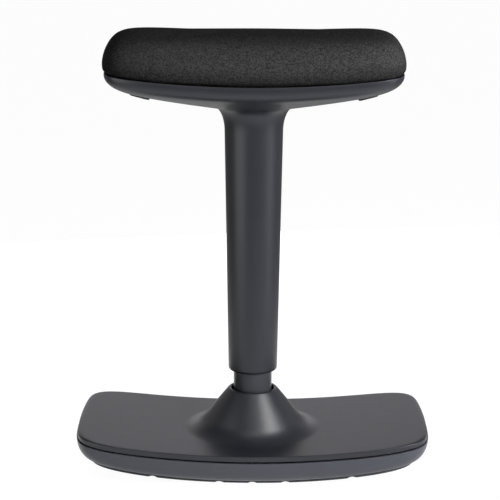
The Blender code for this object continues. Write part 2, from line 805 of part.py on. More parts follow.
def make_bearing():
    lower, cage, upper, _ = bearing_levels()
    hole = ROD_FOOT_RADIUS + GAP
    race = (WASHER_RADIUS + hole) / 2
    ball = CAGE_THICKNESS / 2
    turned("bearing_washer_lower",
           ring_profile(WASHER_RADIUS, hole, lower, lower + WASHER_THICKNESS),
           "zinc_steel", INNER_TURN_STEPS)
    turned("bearing_cage",
           ring_profile(race + 2 * ball, race - 2 * ball, cage, cage + CAGE_THICKNESS),
           "bush_plastic", INNER_TURN_STEPS)
    turned("bearing_washer_upper",
           ring_profile(WASHER_RADIUS, hole, upper, upper + WASHER_THICKNESS),
           "zinc_steel", INNER_TURN_STEPS)


def make_bump_stop():
    bottom = bearing_levels()[3]
    top = CYLINDER_BOTTOM_Z - GAP
    inner = ROD_RADIUS + GAP
    profile = []
    for lobe in range(BUMP_LOBES):
        high = top - (top - bottom) * lobe / BUMP_LOBES
        low = top - (top - bottom) * (lobe + 1) / BUMP_LOBES
        quarter = (high - low) / 4
        profile += [(BUMP_RADIUS - BUMP_WAIST, high), (BUMP_RADIUS, high - quarter),
                    (BUMP_RADIUS, low + quarter)]
    profile += [(BUMP_RADIUS - BUMP_WAIST, bottom), (inner, bottom), (inner, top)]
    return turned("bump_stop", profile, "rubber", INNER_TURN_STEPS)


def piston_bottom():
    return ROD_TOP_Z - PISTON_LENGTH - 3 * GAP


def make_piston_rod():
    shoulder = bearing_levels()[3]
    clip_top = TUBE_BOTTOM_Z - GAP
    groove = ROD_FOOT_RADIUS - CLIP_THICKNESS / 2
    end_z = TUBE_BOTTOM_Z - ROD_END
    clip_low = clip_top - CLIP_THICKNESS
    profile = [
        (0.0, ROD_TOP_Z),
        (ROD_TIP_RADIUS, ROD_TOP_Z),
        (ROD_TIP_RADIUS, piston_bottom() - GAP),
        (ROD_RADIUS, piston_bottom() - GAP),
        (ROD_RADIUS, shoulder),
        (ROD_FOOT_RADIUS, shoulder),
        (ROD_FOOT_RADIUS, clip_top + GAP),
        (groove, clip_top + GAP),
        (groove, clip_low - GAP),
        (ROD_FOOT_RADIUS, clip_low - GAP),
        (ROD_FOOT_RADIUS, end_z),
        (0.0, end_z),
    ]
    return turned("piston_rod", profile, "chrome", INNER_TURN_STEPS, closed=False)


def make_piston():
    outer = CYLINDER_RADIUS - CYLINDER_WALL - GAP
    bottom = piston_bottom()
    top = bottom + PISTON_LENGTH
    third = PISTON_LENGTH / 3
    profile = [
        (outer, top),
        (outer, top - third),
        (outer - PISTON_SEAL_DEPTH, top - third),
        (outer - PISTON_SEAL_DEPTH, bottom + third),
        (outer, bottom + third),
        (outer, bottom),
        (ROD_TIP_RADIUS + GAP, bottom),
        (ROD_TIP_RADIUS + GAP, top),
    ]
    return turned("piston", profile, "bush_plastic", INNER_TURN_STEPS)


def make_rod_clip():
    groove = ROD_FOOT_RADIUS - CLIP_THICKNESS / 2
    top = TUBE_BOTTOM_Z - GAP
    bottom = top - CLIP_THICKNESS
    clip = turned("rod_clip", ring_profile(CLIP_RADIUS, groove + GAP, bottom, top),
                  "zinc_steel", INNER_TURN_STEPS)
    mouth = boxes_mesh("clip_mouth", [((0.0, -CLIP_MOUTH / 2, bottom - OVERRUN),
                                       (CLIP_RADIUS + OVERRUN, CLIP_MOUTH / 2, top + OVERRUN))])
    join_or_cut(clip, add_cutter("clip_mouth", mouth), "DIFFERENCE")
    return clip


def make_rod_gland():
    outer = CYLINDER_RADIUS - CYLINDER_WALL - GAP
    bottom = CYLINDER_BOTTOM_Z + GAP
    profile = ring_profile(outer, ROD_RADIUS + GAP, bottom, bottom + GLAND_LENGTH)
    return turned("rod_gland", profile, "bush_plastic", INNER_TURN_STEPS)


def make_gas_cylinder():
    bore = CYLINDER_RADIUS - CYLINDER_WALL
    valve_bore = VALVE_RADIUS + GAP
    head_z = CYLINDER_TOP_Z - CYLINDER_HEAD
    profile = [
        (CYLINDER_TIP_RADIUS, CYLINDER_TOP_Z),
        (CYLINDER_RADIUS, CYLINDER_TAPER_Z),
        (CYLINDER_RADIUS, CYLINDER_BOTTOM_Z),
        (bore, CYLINDER_BOTTOM_Z),
        (bore, head_z),
        (valve_bore, head_z),
        (valve_bore, CYLINDER_TOP_Z),
    ]
    return turned("gas_cylinder", profile, "tube_black")


def make_valve_pin():
    top = CYLINDER_TOP_Z + VALVE_REACH
    bevel = VALVE_RADIUS / 4
    profile = [
        (0.0, top),
        (VALVE_RADIUS - bevel, top),
        (VALVE_RADIUS, top - bevel),
        (VALVE_RADIUS, top - VALVE_LENGTH),
        (0.0, top - VALVE_LENGTH),
    ]
    return turned("valve_pin", profile, "zinc_steel", POST_STEPS, closed=False)


# Seat shell

def bowl_height(share):
    """Height of the shell's underside, from the column (0) out to the rim (1)."""
    curve = BOWL_DEPTH * math.sqrt(max(1 - share ** BOWL_POWER, 0.0))
    return RIM_Z - RIM_LAND - curve - BOWL_DISH * (1 - share)


def make_seat_shell():
    rings = [polar_ring(SEAT_ANGLES, SEAT_PLAN.reach, lambda x, y: RIM_Z + sweep(x))]
    bowl_shares = (1.0, 0.994, 0.975, 0.94, 0.885, 0.79, 0.60, 0.30, 0.0)
    for share in bowl_shares:
        level = bowl_height(share)
        spread = 1.0 if share else 0.0

        def reach(angle, s=share):
            return NECK_RADIUS + s * (SEAT_PLAN.reach(angle) - NECK_RADIUS)
        rings.append(polar_ring(SEAT_ANGLES, reach,
                                lambda x, y, z=level, k=spread: z + k * sweep(x)))
    neck_z = bowl_height(0.0)
    neck_width = NECK_RADIUS - SLEEVE_TOP_RADIUS
    neck_steps = 5
    for i in range(1, neck_steps + 1):
        angle = QUARTER_TURN * i / neck_steps
        rings.append(circle_ring(SEAT_ANGLES, NECK_RADIUS - neck_width * math.sin(angle),
                                 neck_z - NECK_DROP * (1 - math.cos(angle))))
    round_steps = 3
    for i in range(round_steps + 1):
        angle = QUARTER_TURN * i / round_steps
        radius = SLEEVE_FOOT_RADIUS - SLEEVE_ROUND * (1 - math.cos(angle))
        rings.append(circle_ring(SEAT_ANGLES, radius,
                                 SLEEVE_BOTTOM_Z + SLEEVE_ROUND * (1 - math.sin(angle))))
    shell = add_object("seat_shell", loft("seat_shell", rings), "housing_plastic")
    add_wall(shell, SHELL_WALL)

    posts, holes = [], []
    for x, y in corners_of(SHELL_SCREW_X, SHELL_SCREW_Y):
        bottom = shell_post_bottom(shell, x, y)
        posts.append((x, y, bottom, BOARD_Z - GAP, SHELL_POST_RADIUS))
        seat = shell_head_z(bottom) + SCREW_HEAD_HEIGHT + GAP
        holes.append((x, y, bottom - BOWL_DEPTH, seat, BOARD_Z + OVERRUN))
    post_mesh = cylinders_mesh("shell_posts", posts, POST_STEPS)
    join_or_cut(shell, add_cutter("shell_posts", post_mesh), "UNION")
    bore_mesh = counterbores_mesh("shell_bores", holes, SMALL_TURN_STEPS)
    join_or_cut(shell, add_cutter("shell_bores", bore_mesh), "DIFFERENCE")

    inner = PADDLE_INNER_X - PADDLE_SLOT_GAP
    outer = PADDLE_OUTER_X + PADDLE_SLOT_GAP
    half = PADDLE_WIDTH / 2 + PADDLE_SLOT_GAP
    low = PADDLE_INNER_Z - BOWL_DEPTH
    slots = [((inner, -half, low), (outer, half, BOARD_Z)),
             ((-outer, -half, low), (-inner, half, BOARD_Z))]
    slot_mesh = boxes_mesh("paddle_slots", slots, PADDLE_ROUND)
    join_or_cut(shell, add_cutter("paddle_slots", slot_mesh), "DIFFERENCE")

    for index, (x, y, bottom, _, _) in enumerate(posts):
        screw = screw_up("shell_screw_" + str(index + 1), x, y, shell_head_z(bottom),
                         BOARD_Z + BOARD_SCREW_BITE)
        SEAT_PIECES.append(screw)
    return shell


def shell_post_bottom(shell, x, y):
    """Lowest height for a post that grows from the floor without showing through it."""
    heights = []
    for k in range(8):
        angle = HALF_TURN * k / 4
        px = x + SHELL_POST_RADIUS * math.cos(angle)
        py = y + SHELL_POST_RADIUS * math.sin(angle)
        heights.append(surface_heights(shell, px, py, SLEEVE_BOTTOM_Z, 1.0))
    return max(heights) + GAP


def shell_head_z(post_bottom):
    return post_bottom + SHELL_WALL / 2


# Board, bracket and hub

def make_seat_board():
    mesh = boxes_mesh("seat_board", [board_box(0.0)], BOARD_CORNER, 6)
    board = add_object("seat_board", mesh, "plywood")
    holes = [(x, y, BOARD_Z - OVERRUN, BOARD_Z + BOARD_SCREW_BITE + GAP, SCREW_RADIUS + GAP)
             for x, y in corners_of(SHELL_SCREW_X, SHELL_SCREW_Y)
             + corners_of(BRACKET_SCREW_X, BRACKET_SCREW_Y)]
    hole_mesh = cylinders_mesh("board_pilots", holes, SMALL_TURN_STEPS)
    join_or_cut(board, add_cutter("board_pilots", hole_mesh), "DIFFERENCE")
    return board


def board_box(margin):
    low = (-BOARD_LENGTH / 2 - margin, -BOARD_DEPTH / 2 - margin, BOARD_Z - margin)
    high = (BOARD_LENGTH / 2 + margin, BOARD_DEPTH / 2 + margin, BOARD_Z + BOARD_THICKNESS + margin)
    return low, high


def bracket_top():
    return BRACKET_Z + BRACKET_THICKNESS


def arm_bottom():
    return bracket_top() + LEVER_CLEARANCE


def pivot_z():
    return arm_bottom() + LEVER_THICKNESS / 2


def make_seat_bracket():
    low = (-BRACKET_LENGTH / 2, -BRACKET_DEPTH / 2, BRACKET_Z)
    high = (BRACKET_LENGTH / 2, BRACKET_DEPTH / 2, bracket_top())
    mesh = boxes_mesh("seat_bracket", [(low, high)], BRACKET_CORNER, 3)
    bracket = add_object("seat_bracket", mesh, "black_steel")
    inside = BRACKET_THICKNESS / 2
    feet = [(x, y, bracket_top() - inside, BOARD_Z - GAP, FOOT_RADIUS)
            for x, y in corners_of(BRACKET_SCREW_X, BRACKET_SCREW_Y)]
    join_or_cut(bracket, add_cutter("bracket_feet", cylinders_mesh("bracket_feet", feet, POST_STEPS)),
                "UNION")
    ears = []
    for side in (1, -1):
        x = side * LEVER_PIVOT_X
        for turn in (1, -1):
            near = turn * (ARM_HALF_WIDTH + GAP)
            far = near + turn * EAR_THICKNESS
            ears.append(((x - EAR_WIDTH / 2, min(near, far), bracket_top() - inside),
                         (x + EAR_WIDTH / 2, max(near, far), bracket_top() + EAR_HEIGHT)))
    join_or_cut(bracket, add_cutter("bracket_ears", boxes_mesh("bracket_ears", ears)), "UNION")
    below, above = BRACKET_Z - OVERRUN, BOARD_Z + OVERRUN
    holes = [(x, y, below, above, SCREW_RADIUS + GAP)
             for x, y in corners_of(BRACKET_SCREW_X, BRACKET_SCREW_Y)]
    join_or_cut(bracket, add_cutter("bracket_bores", cylinders_mesh("bracket_bores", holes,
                                                                    SMALL_TURN_STEPS)),
                "DIFFERENCE")
    middle = [(0.0, 0.0, below, bracket_top() + OVERRUN, HUB_RADIUS + GAP)]
    join_or_cut(bracket, add_cutter("hub_bore", cylinders_mesh("hub_bore", middle, TURN_STEPS)),
                "DIFFERENCE")
    join_or_cut(bracket, add_cutter("ear_bores", pin_rods_mesh("ear_bores", PIN_RADIUS + GAP,
                                                               2 * EAR_THICKNESS)),
                "DIFFERENCE")
    return bracket


def pin_rods_mesh(name, radius, past):
    """Bars along Y through both lever pivots, reaching past the arms on each side."""
    length = 2 * (ARM_HALF_WIDTH + past)

    def build(form):
        for side in (1, -1):
            place = (Matrix.Translation((side * LEVER_PIVOT_X, 0.0, pivot_z()))
                     @ Matrix.Rotation(QUARTER_TURN, 4, "X"))
            bmesh.ops.create_cone(form, cap_ends=True, segments=SMALL_TURN_STEPS, radius1=radius,
                                  radius2=radius, depth=length, matrix=place)
    return mesh_from(build, name)


def make_lever_pin(side, name):
    length = 2 * (ARM_HALF_WIDTH + EAR_THICKNESS + 2 * GAP)

    def build(form):
        bmesh.ops.create_cone(form, cap_ends=True, segments=SMALL_TURN_STEPS, radius1=PIN_RADIUS,
                              radius2=PIN_RADIUS, depth=length,
                              matrix=Matrix.Rotation(QUARTER_TURN, 4, "X"))
    pin = add_object(name, mesh_from(build, name), "zinc_steel")
    pin.location = (side * LEVER_PIVOT_X, 0.0, pivot_z())
    return pin


def make_seat_hub():
    top = bracket_top()
    bottom = top - HUB_LENGTH

    def bore(z):
        share = (z - CYLINDER_TAPER_Z) / (CYLINDER_TOP_Z - CYLINDER_TAPER_Z)
        return CYLINDER_RADIUS + share * (CYLINDER_TIP_RADIUS - CYLINDER_RADIUS) + GAP
    profile = [(HUB_RADIUS, top), (HUB_RADIUS, bottom), (bore(bottom), bottom), (bore(top), top)]
    return turned("seat_hub", profile, "black_steel")


def make_bracket_screws():
    screws = []
    for index, (x, y) in enumerate(corners_of(BRACKET_SCREW_X, BRACKET_SCREW_Y)):
        head = BRACKET_Z - GAP - SCREW_HEAD_HEIGHT
        screws.append(screw_up("bracket_screw_" + str(index + 1), x, y, head,
                               BOARD_Z + BOARD_SCREW_BITE))
    return screws


# Release levers

def make_lever(side, name):
    """One lever: arm, tongue over the valve, pivot boss and paddle, made at its pivot."""
    low, high = arm_bottom(), arm_bottom() + LEVER_THICKNESS
    arm = [(TONGUE_START_X, low), (PADDLE_OUTER_X, low), (PADDLE_OUTER_X, high),
           (TONGUE_START_X, high)]
    lever = add_object(name, prism_mesh(name, mirrored(arm, side), ARM_HALF_WIDTH), "bush_plastic")
    tongue = [(-TONGUE_REACH, low), (TONGUE_START_X + LEVER_THICKNESS, low),
              (TONGUE_START_X + LEVER_THICKNESS, high), (-TONGUE_REACH, high)]
    tongue_half = (ARM_HALF_WIDTH - TONGUE_GAP) / 2
    tongue_mesh = prism_mesh(name + "_tongue", mirrored(tongue, side), tongue_half,
                             side * (ARM_HALF_WIDTH + TONGUE_GAP) / 2)
    join_or_cut(lever, add_cutter(name + "_tongue", tongue_mesh), "UNION")
    paddle = [(PADDLE_INNER_X, PADDLE_INNER_Z), (PADDLE_OUTER_X, PADDLE_OUTER_Z),
              (PADDLE_OUTER_X, (low + high) / 2), (PADDLE_INNER_X, (low + high) / 2)]
    paddle_mesh = prism_mesh(name + "_paddle", mirrored(paddle, side), PADDLE_WIDTH / 2,
                             corner=PADDLE_ROUND - PADDLE_SLOT_GAP / 2)
    join_or_cut(lever, add_cutter(name + "_paddle", paddle_mesh), "UNION")

    def boss(form, radius, half):
        place = (Matrix.Translation((side * LEVER_PIVOT_X, 0.0, pivot_z()))
                 @ Matrix.Rotation(QUARTER_TURN, 4, "X"))
        bmesh.ops.create_cone(form, cap_ends=True, segments=POST_STEPS, radius1=radius,
                              radius2=radius, depth=2 * half, matrix=place)
    boss_half = ARM_HALF_WIDTH - GAP
    boss_mesh = mesh_from(lambda form: boss(form, PIVOT_BOSS_RADIUS, boss_half), name + "_boss")
    join_or_cut(lever, add_cutter(name + "_boss", boss_mesh), "UNION")
    bore_mesh = mesh_from(lambda form: boss(form, PIN_RADIUS + GAP, ARM_HALF_WIDTH + OVERRUN),
                          name + "_bore")
    join_or_cut(lever, add_cutter(name + "_bore", bore_mesh), "DIFFERENCE")
    return lever


def mirrored(outline, side):
    """The outline on the +X side, or its mirror, still anticlockwise."""
    if side > 0:
        return outline
    return [(-x, z) for x, z in reversed(outline)]


# Cushion

def make_seat_cushion():
    widest = Plan(SEAT_LENGTH + 2 * PAD_OVERHANG, SEAT_DEPTH + 2 * PAD_OVERHANG,
                  SEAT_END_BOW, SEAT_SIDE_BOW)

    def bottom(x):
        return RIM_Z + PAD_SEAT_GAP + sweep(x)

    def top(x, y):
        fall = PAD_CROWN * (y / widest.half_y) ** 2
        return PAD_TOP_Z + PAD_LIFT * (x / widest.half_x) ** 2 - fall

    rings = []
    for inset, share in PAD_PROFILE_SHARES:
        rings.append(polar_ring(
            PAD_ANGLES, lambda a, d=inset: widest.reach(a) - d * PAD_SIDE_DRAW,
            lambda x, y, s=share: bottom(x) + s * (top(x, y) - bottom(x))))
    rings.reverse()
    mesh = loft("seat_cushion", rings, cap_first=True, cap_last=True)
    cushion = add_object("seat_cushion", mesh, "seat_fabric")
    smooth = cushion.modifiers.new("soften", "SUBSURF")
    smooth.levels = 1
    smooth.render_levels = 1
    pocket = boxes_mesh("board_pocket", [board_box(PAD_SEAT_GAP)], BOARD_CORNER, 6)
    join_or_cut(cushion, add_cutter("board_pocket", pocket), "DIFFERENCE")
    return cushion


# Assembly

SEAT_PIECES = []

base_pieces = [make_base_cover(), make_base_tray(), make_base_sole(), make_base_plate(),
               make_base_socket(), make_stand_tube(), make_guide_bush(), make_bump_stop()]
base_pieces += make_base_screws()
make_bearing()

swivel_axis = add_axis("swivel_axis", (0.0, 0.0, TUBE_BOTTOM_Z))
for piece in (make_piston_rod(), make_piston(), make_rod_clip()):
    attach(piece, swivel_axis)

lift_axis = add_axis("lift_axis", (0.0, 0.0, CYLINDER_BOTTOM_Z), swivel_axis)
SEAT_PIECES += [make_gas_cylinder(), make_rod_gland(), make_seat_shell(), make_seat_board(),
                make_seat_bracket(), make_seat_hub(), make_seat_cushion()]
SEAT_PIECES += make_bracket_screws()
SEAT_PIECES += [make_lever_pin(-1, "left_lever_pin"), make_lever_pin(1, "right_lever_pin")]
for piece in SEAT_PIECES:
    attach(piece, lift_axis)

left_axis = add_axis("left_release_axis", (-LEVER_PIVOT_X, 0.0, pivot_z()), lift_axis)
attach(make_lever(-1, "left_lever"), left_axis)
right_axis = add_axis("right_release_axis", (LEVER_PIVOT_X, 0.0, pivot_z()), lift_axis)
attach(make_lever(1, "right_lever"), right_axis)
valve_axis = add_axis("valve_axis", (0.0, 0.0, CYLINDER_TOP_Z), lift_axis)
attach(make_valve_pin(), valve_axis)
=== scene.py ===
"""Looks of the balance stool: fine surfaces, materials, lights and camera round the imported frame.

Metres, +Z up, +X along the seat's length, the camera in front at -Y.
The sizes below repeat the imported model's, and a comment marks each one that goes its own way.
"""
import json
import math

import bmesh
import bpy
import numpy as np
from mathutils import Matrix, Vector


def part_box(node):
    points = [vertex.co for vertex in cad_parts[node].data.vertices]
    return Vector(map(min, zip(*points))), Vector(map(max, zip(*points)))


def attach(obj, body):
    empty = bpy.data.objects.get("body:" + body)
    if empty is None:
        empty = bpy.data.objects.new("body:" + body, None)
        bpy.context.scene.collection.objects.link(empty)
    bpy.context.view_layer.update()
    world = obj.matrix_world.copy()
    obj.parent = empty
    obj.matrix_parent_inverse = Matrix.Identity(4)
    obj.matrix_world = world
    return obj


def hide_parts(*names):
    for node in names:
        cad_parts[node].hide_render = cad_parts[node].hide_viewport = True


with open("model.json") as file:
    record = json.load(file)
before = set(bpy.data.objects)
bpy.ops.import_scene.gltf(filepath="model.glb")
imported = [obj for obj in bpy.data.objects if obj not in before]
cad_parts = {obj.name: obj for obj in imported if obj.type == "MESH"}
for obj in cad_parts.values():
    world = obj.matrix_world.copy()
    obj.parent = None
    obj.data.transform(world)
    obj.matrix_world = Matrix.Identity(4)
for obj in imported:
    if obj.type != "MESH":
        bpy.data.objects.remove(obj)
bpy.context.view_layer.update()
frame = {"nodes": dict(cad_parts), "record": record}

GAP = 0.0003
FULL_TURN = 2 * math.pi
HALF_TURN = math.pi
QUARTER_TURN = math.pi / 2

# Outlines: length, depth, bow of the ends, bow of the long sides
BASE_PLAN = (0.454, 0.244, 0.008, 0.015)
SEAT_PLAN = (0.3735, 0.227, 0.006, 0.010)
CORNER_POWER = 8.0
BOW_ROUNDS = 12                 # how often a side's bow is worked out again from its own reach
SWEEP_RADIUS = 1.40

# How finely round forms are cut
RING_POINTS = 240
PAD_POINTS = 64
TUBE_SIDES = 96
GROOVE_SIDES = 64
ROD_SIDES = 48
BAR_SIDES = 40
SHARP_ANGLE = 35.0

# Base
ROCK_RADIUS_X = 0.97
ROCK_RADIUS_Y = 1.73
ROCK_FLAT = 0.0008
SOLE_THICKNESS = 0.0033
SOLE_BED = 0.0006
SOLE_INSET = 0.0178
SOLE_EDGE_ROUND = 0.0012
SOLE_SHARP_ANGLE = 25.0
GROOVE_RADIUS = 0.010
GROOVE_DEPTH = 0.0018
GROOVE_PITCH = 0.0423
GROOVE_SLOTS = (-3, -1, 0, 1, 3)
TRAY_WALL = 0.003
TRAY_PROUD = 0.0015
TRAY_UNDERCUT = 0.0155
TRAY_SEAM = 0.0021              # packed: 0.0010
COVER_TOP_Z = 0.0426
COVER_BAND = 0.0065
COVER_EDGE_ROUND = 0.0016       # packed: 0.0030
COVER_END_REACH = 0.007         # here alone: how much further and deeper its two ends round off
COVER_END_DROP = 0.0011
COVER_END_POWER = 8
COVER_WALL = 0.0025
CONE_TOP_Z = 0.0976
CONE_MOUTH_RADIUS = 0.0272
CONE_LIP_ROUND = 0.0030
CONE_SLOPE = math.radians(50.5)         # packed: a straight flank of 52.5 degrees and a 0.022 foot
CONE_FOOT_SLOPE = math.radians(54.0)    # the flank steepens to this on its way down
CONE_FOOT_ROUND = 0.038
LIP_START = math.radians(130.0)

# Column
TUBE_RADIUS = 0.0250
TUBE_WALL = 0.0020
TUBE_TOP_Z = 0.3968
TUBE_BOTTOM_Z = 0.0183
TUBE_FLOOR = 0.0040
TUBE_TAPER_TOP_Z = 0.0868
TUBE_FOOT_RADIUS = 0.0232
TUBE_HOLE_RADIUS = 0.0045
TUBE_LIP = TUBE_WALL / 4

# Seat shell
RIM_Z = 0.5048
SHELL_WALL = 0.0032
RIM_LAND = 0.0015
RIM_ROUND = 0.0007              # here alone
RIM_START = math.radians(20.0)
BOWL_DEPTH = 0.0157
BOWL_DISH = 0.0190
BOWL_POWER = 11.5
NECK_RADIUS = 0.0520
NECK_DROP = 0.0304
SLEEVE_TOP_RADIUS = 0.0374
SLEEVE_FOOT_RADIUS = 0.0318
SLEEVE_BOTTOM_Z = 0.1226
SLEEVE_ROUND = 0.0040
BOARD_Z = 0.5028
SHELL_SCREWS = 4
SHELL_POST_RADIUS = 0.0050
SCREW_RADIUS = 0.0020
SCREW_HEAD_RADIUS = 0.0040
SCREW_HEAD_HEIGHT = 0.0022

# Release levers
LEVER_PIVOT_X = 0.075
ARM_BOTTOM_Z = 0.4923
LEVER_THICKNESS = 0.003
LEVER_EDGE_ROUND = LEVER_THICKNESS / 5
LEVER_EDGE_ANGLE = math.radians(50)
ARM_HALF_WIDTH = 0.0076
TONGUE_START_X = 0.010
TONGUE_REACH = 0.0035
TONGUE_GAP = 0.0006
PIVOT_BOSS_RADIUS = 0.0042
PIN_RADIUS = 0.0016
PADDLE_INNER_X = 0.1300
PADDLE_OUTER_X = 0.1540
PADDLE_WIDTH = 0.110
PADDLE_INNER_Z = 0.4826         # packed: 0.4834
PADDLE_OUTER_Z = 0.4888         # packed: 0.4898
PADDLE_SLOT_GAP = 0.0015
PADDLE_ROUND = 0.006

# Cushion, whose finer form goes its own way
PAD_TOP_Z = 0.5659
PAD_OVERHANG = 0.0020
PAD_CROWN = 0.011
PAD_LIFT = 0.0024               # how far the top rises at the pad's ends
PAD_LIFT_POWER = 6
PAD_SEAT_GAP = 0.0001
PAD_SIDE_DRAW = 0.070
# From the underside over the side to the top: inset in side draws, share of the height
PAD_PROFILE_SHARES = (
    (0.560, 0.00), (0.078, 0.00), (0.026, 0.035), (0.003, 0.11), (-0.015, 0.19), (0.016, 0.48),
    (0.108, 0.77), (0.266, 0.965), (0.580, 1.00), (1.000, 1.00),
)
# Share of the height, share of the tuck
PAD_TUCK_SHARES = (
    (0.00, 1.0), (0.045, 1.0), (0.11, 0.70), (0.19, 0.42), (0.30, 0.17), (0.48, 0.0),
)
PAD_TUCK = 0.0048               # how far the long sides pull in at their lower edge
PAD_TUCK_FROM = 0.70            # share of the half depth where that begins
PAD_SINK = 0.0015               # how far the pad's underside lies inside the rim
PAD_VOXEL = 0.005
PAD_START_INSET = 0.0010        # how much smaller the pad starts than it ends
PAD_PRESSURE = 4.0
PAD_QUALITY = 6
PAD_STIFFNESS = 20.0
PAD_FRAMES = 20
PAD_CAP = 0.0010                # how far the cloth may stand off the foam
PAD_SMOOTHING = 40
PAD_PINNED = 0.004              # height over the rim that stays where it is

# Finishes
NOISE_SPAN = (0.3, 0.7)         # where nearly all of a noise's values lie
YARN_PITCH = 0.0013
YARN_WOBBLE = 0.0009
# Painted shade: the cloth's colour is darkened towards the seam round its lower edge; the shares
# below run from the seam upward
SEAM_RISE = (0.0, 0.026)        # height over the seam in which the painted shade fades out
SEAM_PAINTED_SHADE = (0.42, 1.0)
TRAY_COLOUR = (0.070, 0.074, 0.092)     # a shade lighter and bluer than the cover
LEVER_COLOUR = (0.010, 0.010, 0.011)

# Camera, worked out from the photograph
CAMERA_DISTANCE = 2.0
CAMERA_HEIGHT = 0.7118
CAMERA_PITCH = math.radians(12.121)
CAMERA_ROLL = math.radians(0.27)
FOCAL_PIXELS = 1577.4
PICTURE_PIXELS = 500
SENSOR_WIDTH = 36.0
CENTRE_PIXEL_X = 253.3

# Floor and world
FLOOR_HALF = 12.0
FLOOR_DROP = 0.0002
FLOOR_COLOUR = (0.86, 0.86, 0.87, 1.0)
FLOOR_GLOW = 0.96               # what the camera sees of the floor before light and shadow
FLOOR_SHADOW = (0.15, 0.15, 0.15, 1.0)
FLOOR_FAR_GLOSS = 0.15          # brightness of the far floor in reflections
FLOOR_NEAR_Y = -0.10            # middle of the bright floor that reflections show
FLOOR_FADE = (0.41, 1.03)       # distance from there in which it fades
WORLD_LIGHT = 0.12
SEEN_WHITE = 1.0
WALL_TINT = (0.975, 0.955, 1.0, 1.0)
CEILING_GLOSS = 0.15            # brightness of the ceiling in reflections
CEILING_RISE = (0.21, 0.54)     # rise of a reflected ray where the white wall fades to the ceiling
FLAG_ACROSS = (0.22, 0.45)      # dark flags behind at either side: the ray's |x|, y and rise
FLAG_BEHIND = (0.20, 0.50)
FLAG_RISE = (0.22, 0.36)
FLAG_GLOSS = 0.25


# Outlines

class Plan:
    """A rounded rectangle whose sides bow outward, read at any angle from its middle."""

    def __init__(self, length, depth, end_bow, side_bow):
        self.half_x = length / 2
        self.half_y = depth / 2
        self.end_bow = end_bow
        self.side_bow = side_bow

    def reach(self, angles):
        cos_a = np.abs(np.cos(angles))
        sin_a = np.abs(np.sin(angles))
        to_end = np.full_like(cos_a, self.half_x)
        to_side = np.full_like(cos_a, self.half_y)
        for _ in range(BOW_ROUNDS):
            to_end = self.half_x - self.end_bow * (to_end * sin_a / self.half_y) ** 2
            to_side = self.half_y - self.side_bow * (to_side * cos_a / self.half_x) ** 2
        total = (cos_a / to_end) ** CORNER_POWER + (sin_a / to_side) ** CORNER_POWER
        return total ** (-1 / CORNER_POWER)


def quarter_arc(points):
    """Angles from level to upright."""
    return np.linspace(0.0, QUARTER_TURN, points)


def even_shares(points):
    return np.linspace(0.0, 1.0, points)


def spread_angles(plan, count):
    """Angles round a plan, closer together where its corners turn."""
    quarter = quarter_arc(points=4001)
    points = np.stack([np.cos(quarter), np.sin(quarter)], axis=1) * plan.reach(quarter)[:, None]
    steps = np.diff(points, axis=0)
    lengths = np.linalg.norm(steps, axis=1)
    heading = np.unwrap(np.arctan2(steps[:, 1], steps[:, 0]))
    turns = np.abs(np.diff(heading, prepend=heading[0]))
    angle_share, length_share, turn_share = 0.35, 0.30, 0.35
    weight = (angle_share / len(lengths) + length_share * lengths / lengths.sum()
              + turn_share * turns / QUARTER_TURN)
    total = np.concatenate([[0.0], np.cumsum(weight)])
    goals = total[-1] * np.arange(count // 4) / (count // 4)
    chosen = np.interp(goals, total, quarter)
    first = np.append(chosen, QUARTER_TURN)
    upper = np.concatenate([first, HALF_TURN - chosen[::-1]])[:-1]
    return np.concatenate([upper, HALF_TURN + upper])


base_plan = Plan(*BASE_PLAN)
seat_plan = Plan(*SEAT_PLAN)
base_angles = spread_angles(base_plan, RING_POINTS)
seat_angles = spread_angles(seat_plan, RING_POINTS)


def sweep(x):
    """How far base and seat curve up towards their ends."""
    return x * x / (2 * SWEEP_RADIUS)


def rock(x, y):
    """Height of the rocker's curved underside, below zero where it is flattened."""
    return x * x / (2 * ROCK_RADIUS_X) + y * y / (2 * ROCK_RADIUS_Y) - ROCK_FLAT


def ring(angles, reach, height):
    """Points round the middle; height is a number or a function of x and y."""
    x = reach * np.cos(angles)
    y = reach * np.sin(angles)
    z = height(x, y) if callable(height) else np.full_like(x, height)
    return np.stack([x, y, z], axis=1)


# Meshes

def mesh_object(name, mesh, material):
    piece = bpy.data.objects.new(name, mesh)
    bpy.context.scene.collection.objects.link(piece)
    mesh.materials.append(material)
    return piece


def shade(piece, degrees=SHARP_ANGLE):
    piece.data.shade_smooth()
    piece.data.set_sharp_from_angle(angle=math.radians(degrees))


def skin_mesh(name, rings, cap_first=False, cap_last=False):
    """Skin rings that run anticlockwise seen from above, from the outer face's top down."""
    count = len(rings[0])
    points = np.concatenate(rings)
    here = np.arange(count)
    after = (here + 1) % count
    faces = []
    for row in range(len(rings) - 1):
        upper, lower = row * count, (row + 1) * count
        corners = [upper + here, lower + here, lower + after, upper + after]
        faces += np.stack(corners, axis=1).tolist()
    if cap_first:
        faces.append(here.tolist())
    if cap_last:
        faces.append(((len(rings) - 1) * count + here[::-1]).tolist())
    mesh = bpy.data.meshes.new(name)
    mesh.from_pydata(points.tolist(), [], faces)
    mesh.update()
    return mesh


def rework(mesh, change):
    """Change a mesh through its edit form."""
    form = bmesh.new()
    form.from_mesh(mesh)
    change(form)
    form.to_mesh(mesh)
    form.free()
    return mesh


def turned_mesh(name, profile, sides):
    """Turn closed (radius, height) points, running down the outer side, about Z."""
    angles = FULL_TURN * np.arange(sides) / sides
    rings = [ring(angles, radius, height) for radius, height in profile]
    return rework(skin_mesh(name, rings + rings[:1]), lambda form: bmesh.ops.remove_doubles(
        form, verts=form.verts, dist=GAP / 100))


